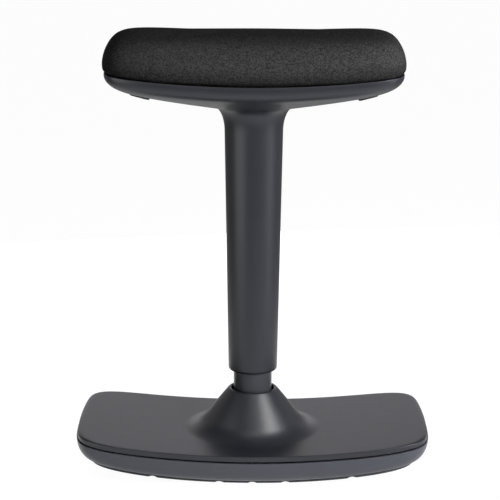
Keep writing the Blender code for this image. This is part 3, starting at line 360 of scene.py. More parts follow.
def add_wall(piece, thickness):
    wall = piece.modifiers.new("wall", "SOLIDIFY")
    wall.thickness = thickness
    wall.offset = -1.0
    wall.use_even_offset = True
    freeze(piece)


def combine(piece, mesh, operation):
    """Join a mesh to a piece or cut it out, at once."""
    tool = bpy.data.objects.new("tool", mesh)
    bpy.context.scene.collection.objects.link(tool)
    modifier = piece.modifiers.new("boolean", "BOOLEAN")
    modifier.operation = operation
    modifier.object = tool
    modifier.solver = "EXACT"
    freeze(piece)
    bpy.data.objects.remove(tool)


def freeze(piece):
    """Put a piece's modifiers into its mesh."""
    bpy.context.view_layer.update()
    graph = bpy.context.evaluated_depsgraph_get()
    made = bpy.data.meshes.new_from_object(piece.evaluated_get(graph))
    old = piece.data
    piece.modifiers.clear()
    piece.data = made
    bpy.data.meshes.remove(old)


def form_mesh(name, build):
    form = bmesh.new()
    build(form)
    mesh = bpy.data.meshes.new(name)
    form.to_mesh(mesh)
    form.free()
    return mesh


def add_rod(form, place, length, radius, sides):
    bmesh.ops.create_cone(form, cap_ends=True, segments=sides, radius1=radius, radius2=radius,
                          depth=length, matrix=place)


def rods_mesh(rods):
    """Upright cylinders, each (x, y, bottom, top, radius)."""
    def build(form):
        for x, y, bottom, top, radius in rods:
            add_rod(form, Matrix.Translation((x, y, (bottom + top) / 2)), top - bottom, radius,
                    ROD_SIDES)
    return form_mesh("rods", build)


def bar_mesh(x, z, half, radius):
    """A bar along Y through a lever's pivot."""
    place = Matrix.Translation((x, 0.0, z)) @ Matrix.Rotation(QUARTER_TURN, 4, "X")
    return form_mesh("bar", lambda form: add_rod(form, place, 2 * half, radius, BAR_SIDES))


def boxes_mesh(boxes, corner):
    """Boxes, each (low corner, high corner), with their upright edges rounded."""
    def build(form):
        for low, high in boxes:
            low, high = Vector(low), Vector(high)
            place = Matrix.Translation((low + high) / 2) @ Matrix.Diagonal((*(high - low), 1.0))
            bmesh.ops.create_cube(form, size=1.0, matrix=place)
        round_uprights(form, corner, steps=10)
    return form_mesh("boxes", build)


def round_uprights(form, corner, steps):
    if corner <= 0:
        return
    upright = [edge for edge in form.edges
               if (edge.verts[0].co - edge.verts[1].co).xy.length < GAP / 10]
    bmesh.ops.bevel(form, geom=upright, offset=corner, segments=steps, affect="EDGES", profile=0.5)


def prism_mesh(outline, half_width, middle=0.0, corner=0.0):
    """An outline in XZ, anticlockwise seen from -Y, carried along Y."""
    def build(form):
        face = form.faces.new([form.verts.new((x, middle - half_width, z)) for x, z in outline])
        swept = bmesh.ops.extrude_face_region(form, geom=[face])
        moved = [item for item in swept["geom"] if isinstance(item, bmesh.types.BMVert)]
        bmesh.ops.translate(form, verts=moved, vec=(0.0, 2 * half_width, 0.0))
        round_uprights(form, corner, steps=8)
        bmesh.ops.recalc_face_normals(form, faces=form.faces)
    return form_mesh("prism", build)


# Materials; noise and cell scales count features per metre

class Finish:
    """A Principled material, with short calls for the nodes that the finishes share."""

    def __init__(self, name, colour, roughness, metallic=0.0, **constants):
        self.material = bpy.data.materials.new(name)
        self.material.use_nodes = True
        self.material.diffuse_color = (*colour, 1.0)
        self.tree = self.material.node_tree
        self.shader = self.tree.nodes["Principled BSDF"]
        self.set("Base Color", (*colour, 1.0))
        self.set("Roughness", roughness)
        self.set("Metallic", metallic)
        for socket, value in constants.items():
            self.set(socket.replace("_", " "), value)
        texture = self.node("ShaderNodeTexCoord")
        self.place = texture.outputs["Object"]
        self.normal = texture.outputs["Normal"]

    def set(self, socket, value):
        self.shader.inputs[socket].default_value = value

    def use(self, socket, source):
        self.feed(self.shader.inputs[socket], source)

    def node(self, kind, **settings):
        made = self.tree.nodes.new(kind)
        for key, value in settings.items():
            setattr(made, key, value)
        return made

    def feed(self, socket, source):
        """Give a socket a link or a plain value."""
        if isinstance(source, bpy.types.NodeSocket):
            self.tree.links.new(source, socket)
        elif isinstance(source, tuple) and len(source) == 3 and len(socket.default_value) == 4:
            socket.default_value = (*source, 1.0)
        else:
            socket.default_value = source

    def math(self, operation, first, second=0.0):
        made = self.node("ShaderNodeMath", operation=operation)
        self.feed(made.inputs[0], first)
        self.feed(made.inputs[1], second)
        return made.outputs[0]

    def times(self, first, second):
        return self.math("MULTIPLY", first, second)

    def weigh(self, first, first_share, second, second_share):
        return self.math("ADD", self.times(first, first_share), self.times(second, second_share))

    def vector(self, operation, first, second):
        made = self.node("ShaderNodeVectorMath", operation=operation)
        self.feed(made.inputs[0], first)
        self.feed(made.inputs["Scale" if operation == "SCALE" else 1], second)
        return made.outputs[0]

    def split(self, vector):
        made = self.node("ShaderNodeSeparateXYZ")
        self.feed(made.inputs[0], vector)
        return made.outputs

    def noise(self, scale, detail=3.0, rough=0.5, place=None, output="Fac"):
        made = self.node("ShaderNodeTexNoise")
        self.feed(made.inputs["Vector"], place or self.place)
        self.feed(made.inputs["Scale"], scale)
        self.feed(made.inputs["Detail"], detail)
        self.feed(made.inputs["Roughness"], rough)
        return made.outputs[output]

    def cells(self, scale, place=None, output="Distance"):
        made = self.node("ShaderNodeTexVoronoi")
        self.feed(made.inputs["Vector"], place or self.place)
        self.feed(made.inputs["Scale"], scale)
        return made.outputs[output]

    def fit(self, value, span, result, kind="LINEAR"):
        """Carry a value from one span over to another."""
        made = self.node("ShaderNodeMapRange", interpolation_type=kind)
        for socket, given in zip(("Value", "From Min", "From Max", "To Min", "To Max"),
                                 (value, *span, *result)):
            self.feed(made.inputs[socket], given)
        return made.outputs["Result"]

    def blend(self, share, first, second):
        made = self.node("ShaderNodeMix", data_type="RGBA")
        self.feed(made.inputs[0], share)
        self.feed(made.inputs[6], first)
        self.feed(made.inputs[7], second)
        return made.outputs[2]

    def mottle(self, value, colour, darker, lighter, span=NOISE_SPAN):
        """A colour that follows a value from darker to lighter times itself."""
        return self.blend(self.fit(value, span, (0.0, 1.0)),
                          scaled(colour, darker), scaled(colour, lighter))

    def bump(self, height, strength, distance, under=None):
        made = self.node("ShaderNodeBump")
        self.feed(made.inputs["Height"], height)
        self.feed(made.inputs["Strength"], strength)
        self.feed(made.inputs["Distance"], distance)
        if under:
            self.feed(made.inputs["Normal"], under)
        return made.outputs["Normal"]


def scaled(colour, factor):
    return tuple(min(c * factor, 1.0) for c in colour)


def moulded(name, colour, roughness, specular=0.5, grain=2200.0, depth=0.00009):
    """Moulded plastic with a fine spark-eroded grain and faint handling marks."""
    finish = Finish(name, colour, roughness, Specular_IOR_Level=specular)
    patches = finish.noise(scale=22.0, detail=4.0)
    specks = finish.noise(scale=900.0, detail=2.0)
    tone = finish.weigh(patches, 0.6, specks, 0.4)
    finish.use("Base Color", finish.mottle(tone, colour, 0.94, 1.06, span=(0.35, 0.65)))
    rub = finish.noise(scale=70.0, detail=5.0, rough=0.65)
    finish.use("Roughness", finish.fit(rub, (0.30, 0.75), (roughness - 0.012, roughness + 0.018)))
    pebbles = finish.cells(scale=grain)
    fine = finish.noise(scale=grain * 1.6)
    height = finish.math("ADD", pebbles, finish.times(fine, 0.6))
    finish.use("Normal", finish.bump(height, strength=0.35, distance=depth))
    return finish.material


def woven(name, colour):
    """Upholstery cloth: plain weave laid on by the surface's direction, with flecked yarn and
    painted shade towards the seam.
    """
    finish = Finish(name, colour, roughness=0.95, Specular_IOR_Level=0.0)
    wobble = finish.noise(scale=240.0, detail=2.0, output="Color")
    centred = finish.vector("SUBTRACT", wobble, (0.5, 0.5, 0.5))
    place = finish.vector("ADD", finish.place, finish.vector("SCALE", centred, YARN_WOBBLE))
    turns = finish.split(finish.vector("SCALE", place, FULL_TURN / YARN_PITCH))
    waves = [finish.math("SINE", turns[axis]) for axis in range(3)]
    facing = finish.split(finish.vector("MULTIPLY", finish.normal, finish.normal))
    parts = [finish.times(finish.times(waves[(axis + 1) % 3], waves[(axis + 2) % 3]), facing[axis])
             for axis in range(3)]
    weave = finish.math("ADD", finish.math("ADD", parts[0], parts[1]), parts[2])
    flecks = finish.split(finish.cells(scale=900.0, place=place, output="Color"))
    melange = finish.noise(scale=650.0, detail=4.0, rough=0.7)
    tone = finish.weigh(flecks[0], 0.45, melange, 0.55)
    cloth = finish.mottle(tone, colour, 0.48, 1.62, span=(0.25, 0.75))
    # the weave's pattern and a painted shade towards the seam both darken the cloth's colour
    weave_and_painted_shade = finish.times(finish.fit(weave, (-1.0, 1.0), (0.72, 1.0)), painted_seam_shade(finish))
    finish.use("Base Color", finish.vector("SCALE", cloth, weave_and_painted_shade))
    fibres = finish.noise(scale=2600.0, rough=0.7)
    height = finish.math("ADD", weave, finish.times(fibres, 0.9))
    coarse = finish.bump(finish.noise(scale=420.0), strength=0.20, distance=0.0004)
    finish.use("Normal", finish.bump(height, strength=0.55, distance=0.00022, under=coarse))
    return finish.material


def painted_seam_shade(finish):
    """Painted shade: the cloth's colour darkens towards the seam that runs round its lower edge."""
    place = finish.split(finish.place)
    rise = finish.times(finish.times(place[0], place[0]), 0.5 / SWEEP_RADIUS)
    height = finish.math("SUBTRACT", finish.math("SUBTRACT", place[2], RIM_Z), rise)
    return finish.fit(height, SEAM_RISE, SEAM_PAINTED_SHADE, kind="SMOOTHSTEP")


def coated(name, colour, roughness, metallic):
    """Powder coat or satin paint on steel, with a slight orange peel."""
    finish = Finish(name, colour, roughness, metallic, Specular_IOR_Level=0.27)
    finish.use("Base Color", finish.mottle(finish.noise(scale=30.0), colour, 0.88, 1.12))
    rub = finish.noise(scale=120.0, detail=4.0, rough=0.6)
    finish.use("Roughness", finish.fit(rub, NOISE_SPAN, (roughness - 0.03, roughness + 0.05)))
    peel = finish.noise(scale=900.0, detail=2.0)
    finish.use("Normal", finish.bump(peel, strength=0.12, distance=0.00008))
    return finish.material


def plated(name, colour, roughness):
    """Zinc or chrome plate, brushed round its length."""
    finish = Finish(name, colour, roughness, metallic=1.0)
    stretched = finish.vector("MULTIPLY", finish.place, (260.0, 260.0, 5200.0))
    lines = finish.noise(scale=1.0, rough=0.6, place=stretched)
    bloom = finish.noise(scale=160.0, detail=4.0)
    finish.use("Base Color", finish.mottle(bloom, colour, 0.86, 1.08))
    finish.use("Roughness", finish.fit(lines, NOISE_SPAN, (roughness * 0.7, roughness * 1.3)))
    finish.use("Normal", finish.bump(lines, strength=0.10, distance=0.00004))
    return finish.material


def rubbery(name, colour):
    """Matt rubber with a pale bloom."""
    finish = Finish(name, colour, roughness=0.72, Specular_IOR_Level=0.35)
    bloom = finish.noise(scale=45.0, detail=5.0, rough=0.6)
    finish.use("Base Color", finish.mottle(bloom, colour, 0.85, 1.2))
    finish.use("Roughness", finish.fit(bloom, NOISE_SPAN, (0.66, 0.80)))
    grit = finish.noise(scale=1500.0)
    finish.use("Normal", finish.bump(grit, strength=0.3, distance=0.00012))
    return finish.material


def ply(name, colour):
    """Plywood: dark filmed faces with long grain, sealed edges with stacked veneers."""
    finish = Finish(name, colour, roughness=0.62)
    along = finish.vector("MULTIPLY", finish.place, (18.0, 240.0, 240.0))
    grain = finish.noise(scale=1.0, detail=5.0, rough=0.6, place=along)
    layers = finish.node("ShaderNodeTexWave", wave_type="BANDS", bands_direction="Z")
    finish.feed(layers.inputs["Vector"], finish.place)
    finish.feed(layers.inputs["Scale"], 130.0)
    finish.feed(layers.inputs["Distortion"], 0.4)
    tone = finish.weigh(grain, 0.7, layers.outputs["Fac"], 0.3)
    edge = finish.mottle(tone, colour, 0.10, 0.18, span=(0.25, 0.75))
    film = finish.mottle(grain, colour, 0.05, 0.09)
    flat = finish.math("ABSOLUTE", finish.split(finish.normal)["Z"])
    finish.use("Base Color", finish.blend(finish.fit(flat, (0.5, 0.8), (0.0, 1.0)), edge, film))
    finish.use("Roughness", finish.fit(grain, NOISE_SPAN, (0.55, 0.72)))
    finish.use("Normal", finish.bump(grain, strength=0.25, distance=0.0001))
    return finish.material


MATERIALS = {
    "housing_plastic": moulded("housing_plastic", (0.024, 0.0255, 0.033), roughness=0.35),
    "seat_fabric": woven("seat_fabric", (0.062, 0.062, 0.062)),
    "tube_black": coated("tube_black", (0.054, 0.056, 0.066), roughness=0.30, metallic=0.0),
    "zinc_steel": plated("zinc_steel", (0.55, 0.56, 0.58), roughness=0.34),
    "black_steel": coated("black_steel", (0.040, 0.040, 0.042), roughness=0.45, metallic=0.4),
    "chrome": plated("chrome", (0.70, 0.70, 0.72), roughness=0.12),
    "rubber": rubbery("rubber", (0.060, 0.062, 0.067)),
    "plywood": ply("plywood", (0.56, 0.40, 0.24)),
    "bush_plastic": moulded("bush_plastic", (0.020, 0.020, 0.021), roughness=0.40, grain=1500.0,
                            depth=0.00006),
}
tray_plastic = moulded("tray_plastic", TRAY_COLOUR, roughness=0.38)
lever_plastic = moulded("lever_plastic", LEVER_COLOUR, roughness=0.60, specular=0.2)

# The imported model's own nodes take these finishes too
for part in frame["record"]["subparts"]:
    mesh = frame["nodes"][part["node"]].data
    for index in range(len(mesh.materials)):
        mesh.materials[index] = MATERIALS[part["material_slot"]]


def place_piece(piece, body, node):
    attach(piece, body)
    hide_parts(node)


# Rocking base

def cone_profile():
    """Lip, bowed flank and foot of the cover's cone, as (radius, height) from the lip outward."""
    lip_r = CONE_MOUTH_RADIUS + CONE_LIP_ROUND
    lip_z = CONE_TOP_Z - CONE_LIP_ROUND
    points = [(lip_r + CONE_LIP_ROUND * math.cos(a), lip_z + CONE_LIP_ROUND * math.sin(a))
              for a in np.linspace(LIP_START, QUARTER_TURN - CONE_SLOPE, num=13)]
    last_r, last_z = points[-1]
    foot_z = COVER_TOP_Z + CONE_FOOT_ROUND * (1 - math.cos(CONE_FOOT_SLOPE))
    bow = (last_z - foot_z) / (math.cos(CONE_SLOPE) - math.cos(CONE_FOOT_SLOPE))
    points += [(last_r + bow * (math.sin(a) - math.sin(CONE_SLOPE)),
                last_z - bow * (math.cos(CONE_SLOPE) - math.cos(a)))
               for a in np.linspace(CONE_SLOPE, CONE_FOOT_SLOPE, num=10)[1:-1]]
    foot_r = (last_r + bow * (math.sin(CONE_FOOT_SLOPE) - math.sin(CONE_SLOPE))
              + CONE_FOOT_ROUND * math.sin(CONE_FOOT_SLOPE))
    return points + [(foot_r - CONE_FOOT_ROUND * math.sin(a),
                      COVER_TOP_Z + CONE_FOOT_ROUND * (1 - math.cos(a)))
                     for a in np.linspace(CONE_FOOT_SLOPE, 0.0, num=17)]


def make_cover():
    reach = base_plan.reach(base_angles)
    profile = cone_profile()
    lip_radius, foot_radius = profile[0][0], profile[-1][0]
    rings = []
    for radius, z in profile:
        share = (radius - lip_radius) / (foot_radius - lip_radius)
        rings.append(ring(base_angles, radius, lambda x, y: z + share * sweep(x)))
    ends = (np.abs(reach * np.cos(base_angles)) / base_plan.half_x) ** COVER_END_POWER
    inner = reach - COVER_EDGE_ROUND - COVER_END_REACH * ends
    for share in even_shares(points=14)[1:-1]:
        rings.append(ring(base_angles, foot_radius + share * (inner - foot_radius),
                          lambda x, y: COVER_TOP_Z + sweep(x)))
    for angle in quarter_arc(points=13):
        inset = (reach - inner) * (1 - math.sin(angle))
        drop = (COVER_EDGE_ROUND + COVER_END_DROP * ends) * (1 - math.cos(angle))
        rings.append(ring(base_angles, reach - inset, lambda x, y: COVER_TOP_Z - drop + sweep(x)))
    rings.append(ring(base_angles, reach, lambda x, y: COVER_TOP_Z - COVER_BAND + sweep(x)))
    cover = mesh_object("base_cover_skin", skin_mesh("base_cover_skin", rings),
                        MATERIALS["housing_plastic"])
    add_wall(cover, COVER_WALL)
    shade(cover)
    place_piece(cover, "base", "base_cover")


def sole_bottom(x, y):
    return np.maximum(rock(x, y), 0.0)


def tray_floor(x, y):
    return sole_bottom(x, y) + SOLE_THICKNESS + SOLE_BED


def sole_reach(share):
    """From the edge of the sole's flat middle, share 0, to its rim, share 1."""
    curve = (np.cos(base_angles) ** 2 / (2 * ROCK_RADIUS_X)
             + np.sin(base_angles) ** 2 / (2 * ROCK_RADIUS_Y))
    flat = np.sqrt(ROCK_FLAT / curve)
    rim = base_plan.reach(base_angles) + TRAY_PROUD - SOLE_INSET
    return flat + share * (rim - flat)


def make_tray():
    outer = base_plan.reach(base_angles) + TRAY_PROUD
    rim_z = COVER_TOP_Z - COVER_BAND - TRAY_SEAM
    rings = []
    for angle in quarter_arc(points=19):
        inset = TRAY_UNDERCUT * (1 - math.cos(angle))
        down = math.sin(angle)

        def height(x, y):
            top = rim_z + sweep(x)
            return top + down * (tray_floor(x, y) - top)
        rings.append(ring(base_angles, outer - inset, height))
    for share in even_shares(points=9)[-2::-1]:
        rings.append(ring(base_angles, sole_reach(share), tray_floor))
    tray = mesh_object("base_tray_skin", skin_mesh("base_tray_skin", rings, cap_last=True),
                       tray_plastic)
    add_wall(tray, TRAY_WALL)
    shade(tray)
    place_piece(tray, "base", "base_tray")


def make_sole():
    shares = even_shares(points=12)
    rings = [ring(base_angles, sole_reach(share), lambda x, y: tray_floor(x, y) - SOLE_BED)
             for share in shares]
    for angle in quarter_arc(points=5):
        inset = SOLE_EDGE_ROUND * (1 - math.cos(angle))
        lift = SOLE_EDGE_ROUND * (1 - math.sin(angle))
        rings.append(ring(base_angles, sole_reach(1.0) - inset,
                          lambda x, y: sole_bottom(x, y) + lift))
    rings += [ring(base_angles, sole_reach(share), sole_bottom) for share in shares[-2::-1]]
    skin = skin_mesh("base_sole_skin", rings, cap_first=True, cap_last=True)
    sole = mesh_object("base_sole_skin", skin, MATERIALS["rubber"])
    for slot in GROOVE_SLOTS:
        combine(sole, groove_mesh(slot * GROOVE_PITCH), "DIFFERENCE")
    shade(sole, SOLE_SHARP_ANGLE)
    place_piece(sole, "base", "base_sole")


def groove_mesh(x):
    """A round bar along Y, sunk to the groove's depth all along the curved underside."""
    angles = FULL_TURN * np.arange(GROOVE_SIDES) / GROOVE_SIDES
    half = BASE_PLAN[1] / 2
    rings = []
    for y in np.linspace(-half, half, num=15):
        middle = sole_bottom(x, y) + GROOVE_DEPTH - GROOVE_RADIUS
        rings.append(np.stack([x + GROOVE_RADIUS * np.cos(angles), np.full(GROOVE_SIDES, y),
                               middle + GROOVE_RADIUS * np.sin(angles)], axis=1))
    skin = skin_mesh("groove", rings, cap_first=True, cap_last=True)
    return rework(skin, lambda form: bmesh.ops.recalc_face_normals(form, faces=form.faces))


def make_tube():
    """The stand tube: foot taper, rolled mouth and a floor with the rod's hole."""
    inner = TUBE_RADIUS - TUBE_WALL
    floor_z = TUBE_BOTTOM_Z + TUBE_FLOOR
    floor_radius = (TUBE_FOOT_RADIUS + (TUBE_RADIUS - TUBE_FOOT_RADIUS) * TUBE_FLOOR
                    / (TUBE_TAPER_TOP_Z - TUBE_BOTTOM_Z) - TUBE_WALL)
    profile = [(inner + TUBE_LIP, TUBE_TOP_Z), (TUBE_RADIUS - TUBE_LIP, TUBE_TOP_Z),
               (TUBE_RADIUS, TUBE_TOP_Z - TUBE_LIP)]
    profile += [(TUBE_RADIUS, z)
                for z in np.linspace(TUBE_TOP_Z - 2 * TUBE_LIP, TUBE_TAPER_TOP_Z, num=12)]
    profile += [(TUBE_FOOT_RADIUS, TUBE_BOTTOM_Z + TUBE_LIP),
                (TUBE_FOOT_RADIUS - TUBE_LIP, TUBE_BOTTOM_Z), (TUBE_HOLE_RADIUS, TUBE_BOTTOM_Z),
                (TUBE_HOLE_RADIUS, floor_z), (floor_radius, floor_z), (inner, TUBE_TAPER_TOP_Z),
                (inner, TUBE_TOP_Z - TUBE_LIP)]
    tube = mesh_object("stand_tube_skin", turned_mesh("stand_tube_skin", profile, TUBE_SIDES),
                       MATERIALS["tube_black"])
    shade(tube)
    place_piece(tube, "base", "stand_tube")


# Seat shell

def bowl_height(share):
    """Height of the boat-shaped underside, from the neck, share 0, to the rim, share 1."""
    curve = BOWL_DEPTH * np.sqrt(max(1 - share ** BOWL_POWER, 0.0))
    return RIM_Z - RIM_LAND - curve - BOWL_DISH * (1 - share)


def shell_rings():
    """Rim, bowl, neck and sleeve, from the top down."""
    reach = seat_plan.reach(seat_angles)
    rings = []
    for angle in np.linspace(RIM_START, QUARTER_TURN, num=5):
        inset, drop = RIM_ROUND * (1 - math.sin(angle)), RIM_ROUND * (1 - math.cos(angle))
        rings.append(ring(seat_angles, reach - inset, lambda x, y: RIM_Z - drop + sweep(x)))
    for share in 1 - even_shares(points=26) ** 2:
        level = bowl_height(share)
        rings.append(ring(seat_angles, NECK_RADIUS + share * (reach - NECK_RADIUS),
                          lambda x, y: level + sweep(x)))
    neck_z = bowl_height(0.0)
    neck_width = NECK_RADIUS - SLEEVE_TOP_RADIUS
    for angle in quarter_arc(points=15)[1:]:
        spread = 1 - math.sin(angle)
        level = neck_z - NECK_DROP * (1 - math.cos(angle))
        rings.append(ring(seat_angles, NECK_RADIUS - neck_width * math.sin(angle),
                          lambda x, y: level + spread * sweep(x)))
    neck_end = neck_z - NECK_DROP
    for share in even_shares(points=12)[1:-1]:
        radius = SLEEVE_TOP_RADIUS + share * (SLEEVE_FOOT_RADIUS - SLEEVE_TOP_RADIUS)
        z = neck_end + share * (SLEEVE_BOTTOM_Z + SLEEVE_ROUND - neck_end)
        rings.append(ring(seat_angles, radius, z))
    for angle in quarter_arc(points=7):
        rings.append(ring(seat_angles, SLEEVE_FOOT_RADIUS - SLEEVE_ROUND * (1 - math.cos(angle)),
                          SLEEVE_BOTTOM_Z + SLEEVE_ROUND * (1 - math.sin(angle))))
    return rings


def make_shell():
    shell = mesh_object("seat_shell_skin", skin_mesh("seat_shell_skin", shell_rings()),
                        MATERIALS["housing_plastic"])
    add_wall(shell, SHELL_WALL)
    posts, bores, seats = [], [], []
    for number in range(1, SHELL_SCREWS + 1):
        low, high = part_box(f"shell_screw_{number}")
        x, y = (low.x + high.x) / 2, (low.y + high.y) / 2
        posts.append((x, y, low.z - SHELL_WALL / 2, BOARD_Z - GAP, SHELL_POST_RADIUS))
        bores.append((x, y, low.z, BOARD_Z + SHELL_WALL, SCREW_RADIUS + GAP))
        seats.append((x, y, low.z - BOWL_DEPTH, low.z + SCREW_HEAD_HEIGHT + GAP,
                      SCREW_HEAD_RADIUS + GAP))
    combine(shell, rods_mesh(posts), "UNION")
    combine(shell, rods_mesh(bores), "DIFFERENCE")
    combine(shell, rods_mesh(seats), "DIFFERENCE")
    inner, outer = PADDLE_INNER_X - PADDLE_SLOT_GAP, PADDLE_OUTER_X + PADDLE_SLOT_GAP
    half = PADDLE_WIDTH / 2 + PADDLE_SLOT_GAP
    low, high = PADDLE_INNER_Z - BOWL_DEPTH, BOARD_Z
    slots = boxes_mesh([((inner, -half, low), (outer, half, high)),
                        ((-outer, -half, low), (-inner, half, high))], PADDLE_ROUND)
    combine(shell, slots, "DIFFERENCE")
    shade(shell)
    place_piece(shell, "seat", "seat_shell")


# Release levers

def make_lever(side, name, body):
    """Arm, tongue over the valve, paddle and pivot boss; side is -1 for left and 1 for right."""
    low, high = ARM_BOTTOM_Z, ARM_BOTTOM_Z + LEVER_THICKNESS
    middle = (low + high) / 2
    pivot_x = side * LEVER_PIVOT_X

    def outline(points):
        return points if side > 0 else [(-x, z) for x, z in reversed(points)]
    arm = outline([(TONGUE_START_X, low), (PADDLE_OUTER_X, low), (PADDLE_OUTER_X, high),
                   (TONGUE_START_X, high)])
    tongue = outline([(-TONGUE_REACH, low), (TONGUE_START_X + LEVER_THICKNESS, low),
                      (TONGUE_START_X + LEVER_THICKNESS, high), (-TONGUE_REACH, high)])
    paddle = outline([(PADDLE_INNER_X, PADDLE_INNER_Z), (PADDLE_OUTER_X, PADDLE_OUTER_Z),
                      (PADDLE_OUTER_X, middle), (PADDLE_INNER_X, middle)])
    lever = mesh_object(name + "_skin", prism_mesh(arm, ARM_HALF_WIDTH), lever_plastic)
    combine(lever, prism_mesh(tongue, (ARM_HALF_WIDTH - TONGUE_GAP) / 2,
                              side * (ARM_HALF_WIDTH + TONGUE_GAP) / 2), "UNION")
    combine(lever, prism_mesh(paddle, PADDLE_WIDTH / 2, corner=PADDLE_ROUND - PADDLE_SLOT_GAP / 2),
            "UNION")
    combine(lever, bar_mesh(pivot_x, middle, ARM_HALF_WIDTH - GAP, PIVOT_BOSS_RADIUS), "UNION")
    combine(lever, bar_mesh(pivot_x, middle, 2 * ARM_HALF_WIDTH, PIN_RADIUS + GAP), "DIFFERENCE")
    soften = lever.modifiers.new("soften", "BEVEL")
    soften.width = LEVER_EDGE_ROUND
    soften.segments = 3
    soften.limit_method = "ANGLE"
    soften.angle_limit = LEVER_EDGE_ANGLE
    freeze(lever)
    shade(lever)
    place_piece(lever, body, name)


# Cushion

def make_cushion():
    plan = Plan(SEAT_PLAN[0] + 2 * PAD_OVERHANG, SEAT_PLAN[1] + 2 * PAD_OVERHANG, *SEAT_PLAN[2:])
    angles = spread_angles(plan, PAD_POINTS)
    reach = plan.reach(angles)

    def bottom(x):
        return RIM_Z + PAD_SEAT_GAP + sweep(x)

    def top(x, y):
        lift = PAD_LIFT * (x / plan.half_x) ** PAD_LIFT_POWER
        return PAD_TOP_Z + lift - PAD_CROWN * (y / plan.half_y) ** 2
    side = np.clip((np.abs(reach * np.sin(angles)) / plan.half_y - PAD_TUCK_FROM)
                   / (1 - PAD_TUCK_FROM), 0.0, 1.0)
    tuck_at, tuck_by = zip(*PAD_TUCK_SHARES)
    rings = []
    for inset, share in reversed(PAD_PROFILE_SHARES):
        tuck = PAD_TUCK * np.interp(share, tuck_at, tuck_by)
        sink = PAD_SINK if share == 0.0 else 0.0
        rings.append(ring(angles, reach - inset * PAD_SIDE_DRAW - tuck * side * side,
                          lambda x, y: bottom(x) - sink + share * (top(x, y) - bottom(x))))
    skin = skin_mesh("cushion", rings, cap_first=True, cap_last=True)
    cushion = mesh_object("cushion", skin, MATERIALS["seat_fabric"])
    subdivide(cushion, levels=2)
    inflate(cushion, bottom)
    subdivide(cushion, levels=1)
    cushion.data.shade_smooth()
    place_piece(cushion, "seat", "seat_cushion")


def subdivide(piece, levels):
    finer = piece.modifiers.new("finer", "SUBSURF")
    finer.levels = finer.render_levels = levels
    freeze(piece)


def coordinates(mesh):
    flat = np.zeros(len(mesh.vertices) * 3, np.float32)
    mesh.vertices.foreach_get("co", flat)
    return flat.reshape(-1, 3).astype(float)


def smoothed(values, mesh):
    """Even out a number kept for each point by averaging it with its neighbours' numbers."""
    ends = np.zeros(len(mesh.edges) * 2, np.int32)
    mesh.edges.foreach_get("vertices", ends)
    first, second = ends.reshape(-1, 2).T
    count = np.bincount(ends, minlength=len(values))
    for _ in range(PAD_SMOOTHING):
        total = (np.bincount(first, values[second], len(values))
                 + np.bincount(second, values[first], len(values)))
        values = (values + total / count) / 2
    return values


def inflate(cushion, bottom):
    """Swell the cloth over its foam, which it never sinks into; its lower edge is held."""
    remesh = cushion.modifiers.new("remesh", "REMESH")
    remesh.mode = "VOXEL"
    remesh.voxel_size = PAD_VOXEL
    freeze(cushion)
    mesh = cushion.data
    normals = np.zeros(len(mesh.vertices) * 3, np.float32)
    mesh.vertex_normals.foreach_get("vector", normals)
    normals = normals.reshape(-1, 3)
    outer = coordinates(mesh)
    held = outer[:, 2] < bottom(outer[:, 0]) + PAD_PINNED
    start = outer - PAD_START_INSET * normals * ~held[:, None]
    mesh.vertices.foreach_set("co", start.ravel())
    mesh.update()
    pins = cushion.vertex_groups.new(name="held")
    pins.add([int(i) for i in np.flatnonzero(held)], 1.0, "REPLACE")
    cloth = cushion.modifiers.new("cloth", "CLOTH")
    settings = cloth.settings
    settings.use_pressure = True
    settings.uniform_pressure_force = PAD_PRESSURE
    settings.effector_weights.gravity = 0.0
    settings.vertex_group_mass = pins.name
    settings.quality = PAD_QUALITY
    settings.tension_stiffness = settings.compression_stiffness = PAD_STIFFNESS
    cloth.point_cache.frame_start = 1
    cloth.point_cache.frame_end = PAD_FRAMES
    scene = bpy.context.scene
    for number in range(1, PAD_FRAMES + 1):
        scene.frame_set(number)
    freeze(cushion)
    scene.frame_set(1)
    swell = ((coordinates(cushion.data) - outer) * normals).sum(axis=1)
    swell = smoothed(np.clip(swell, 0.0, PAD_CAP), cushion.data)
    cushion.data.vertices.foreach_set("co", (outer + swell[:, None] * normals).ravel())
    cushion.data.update()
    cushion.vertex_groups.clear()


# Floor, lights and camera

def add_node(tree, kind, operation=None, **inputs):
    """A node whose inputs, named or numbered as i0, i1, i2, take a value or a link."""
    made = tree.nodes.new(kind)
    if operation:
        made.operation = operation
    for key, value in inputs.items():
        numbered = key[0] == "i" and key[1:].isdigit()
        socket = made.inputs[int(key[1:]) if numbered else key]
        if isinstance(value, bpy.types.NodeSocket):
            tree.links.new(value, socket)
        else:
            socket.default_value = value
    return made


def maths(tree, operation, first, second):
    return add_node(tree, "ShaderNodeMath", operation, i0=first, i1=second).outputs[0]


def choose(tree, share, first, second):
    return add_node(tree, "ShaderNodeMix", i0=share, i2=first, i3=second).outputs[0]


def fade(tree, value, span, first, last):
    made = add_node(tree, "ShaderNodeMapRange", i0=value, i1=span[0], i2=span[1], i3=first, i4=last)
    made.interpolation_type = "SMOOTHSTEP"
    return made.outputs[0]


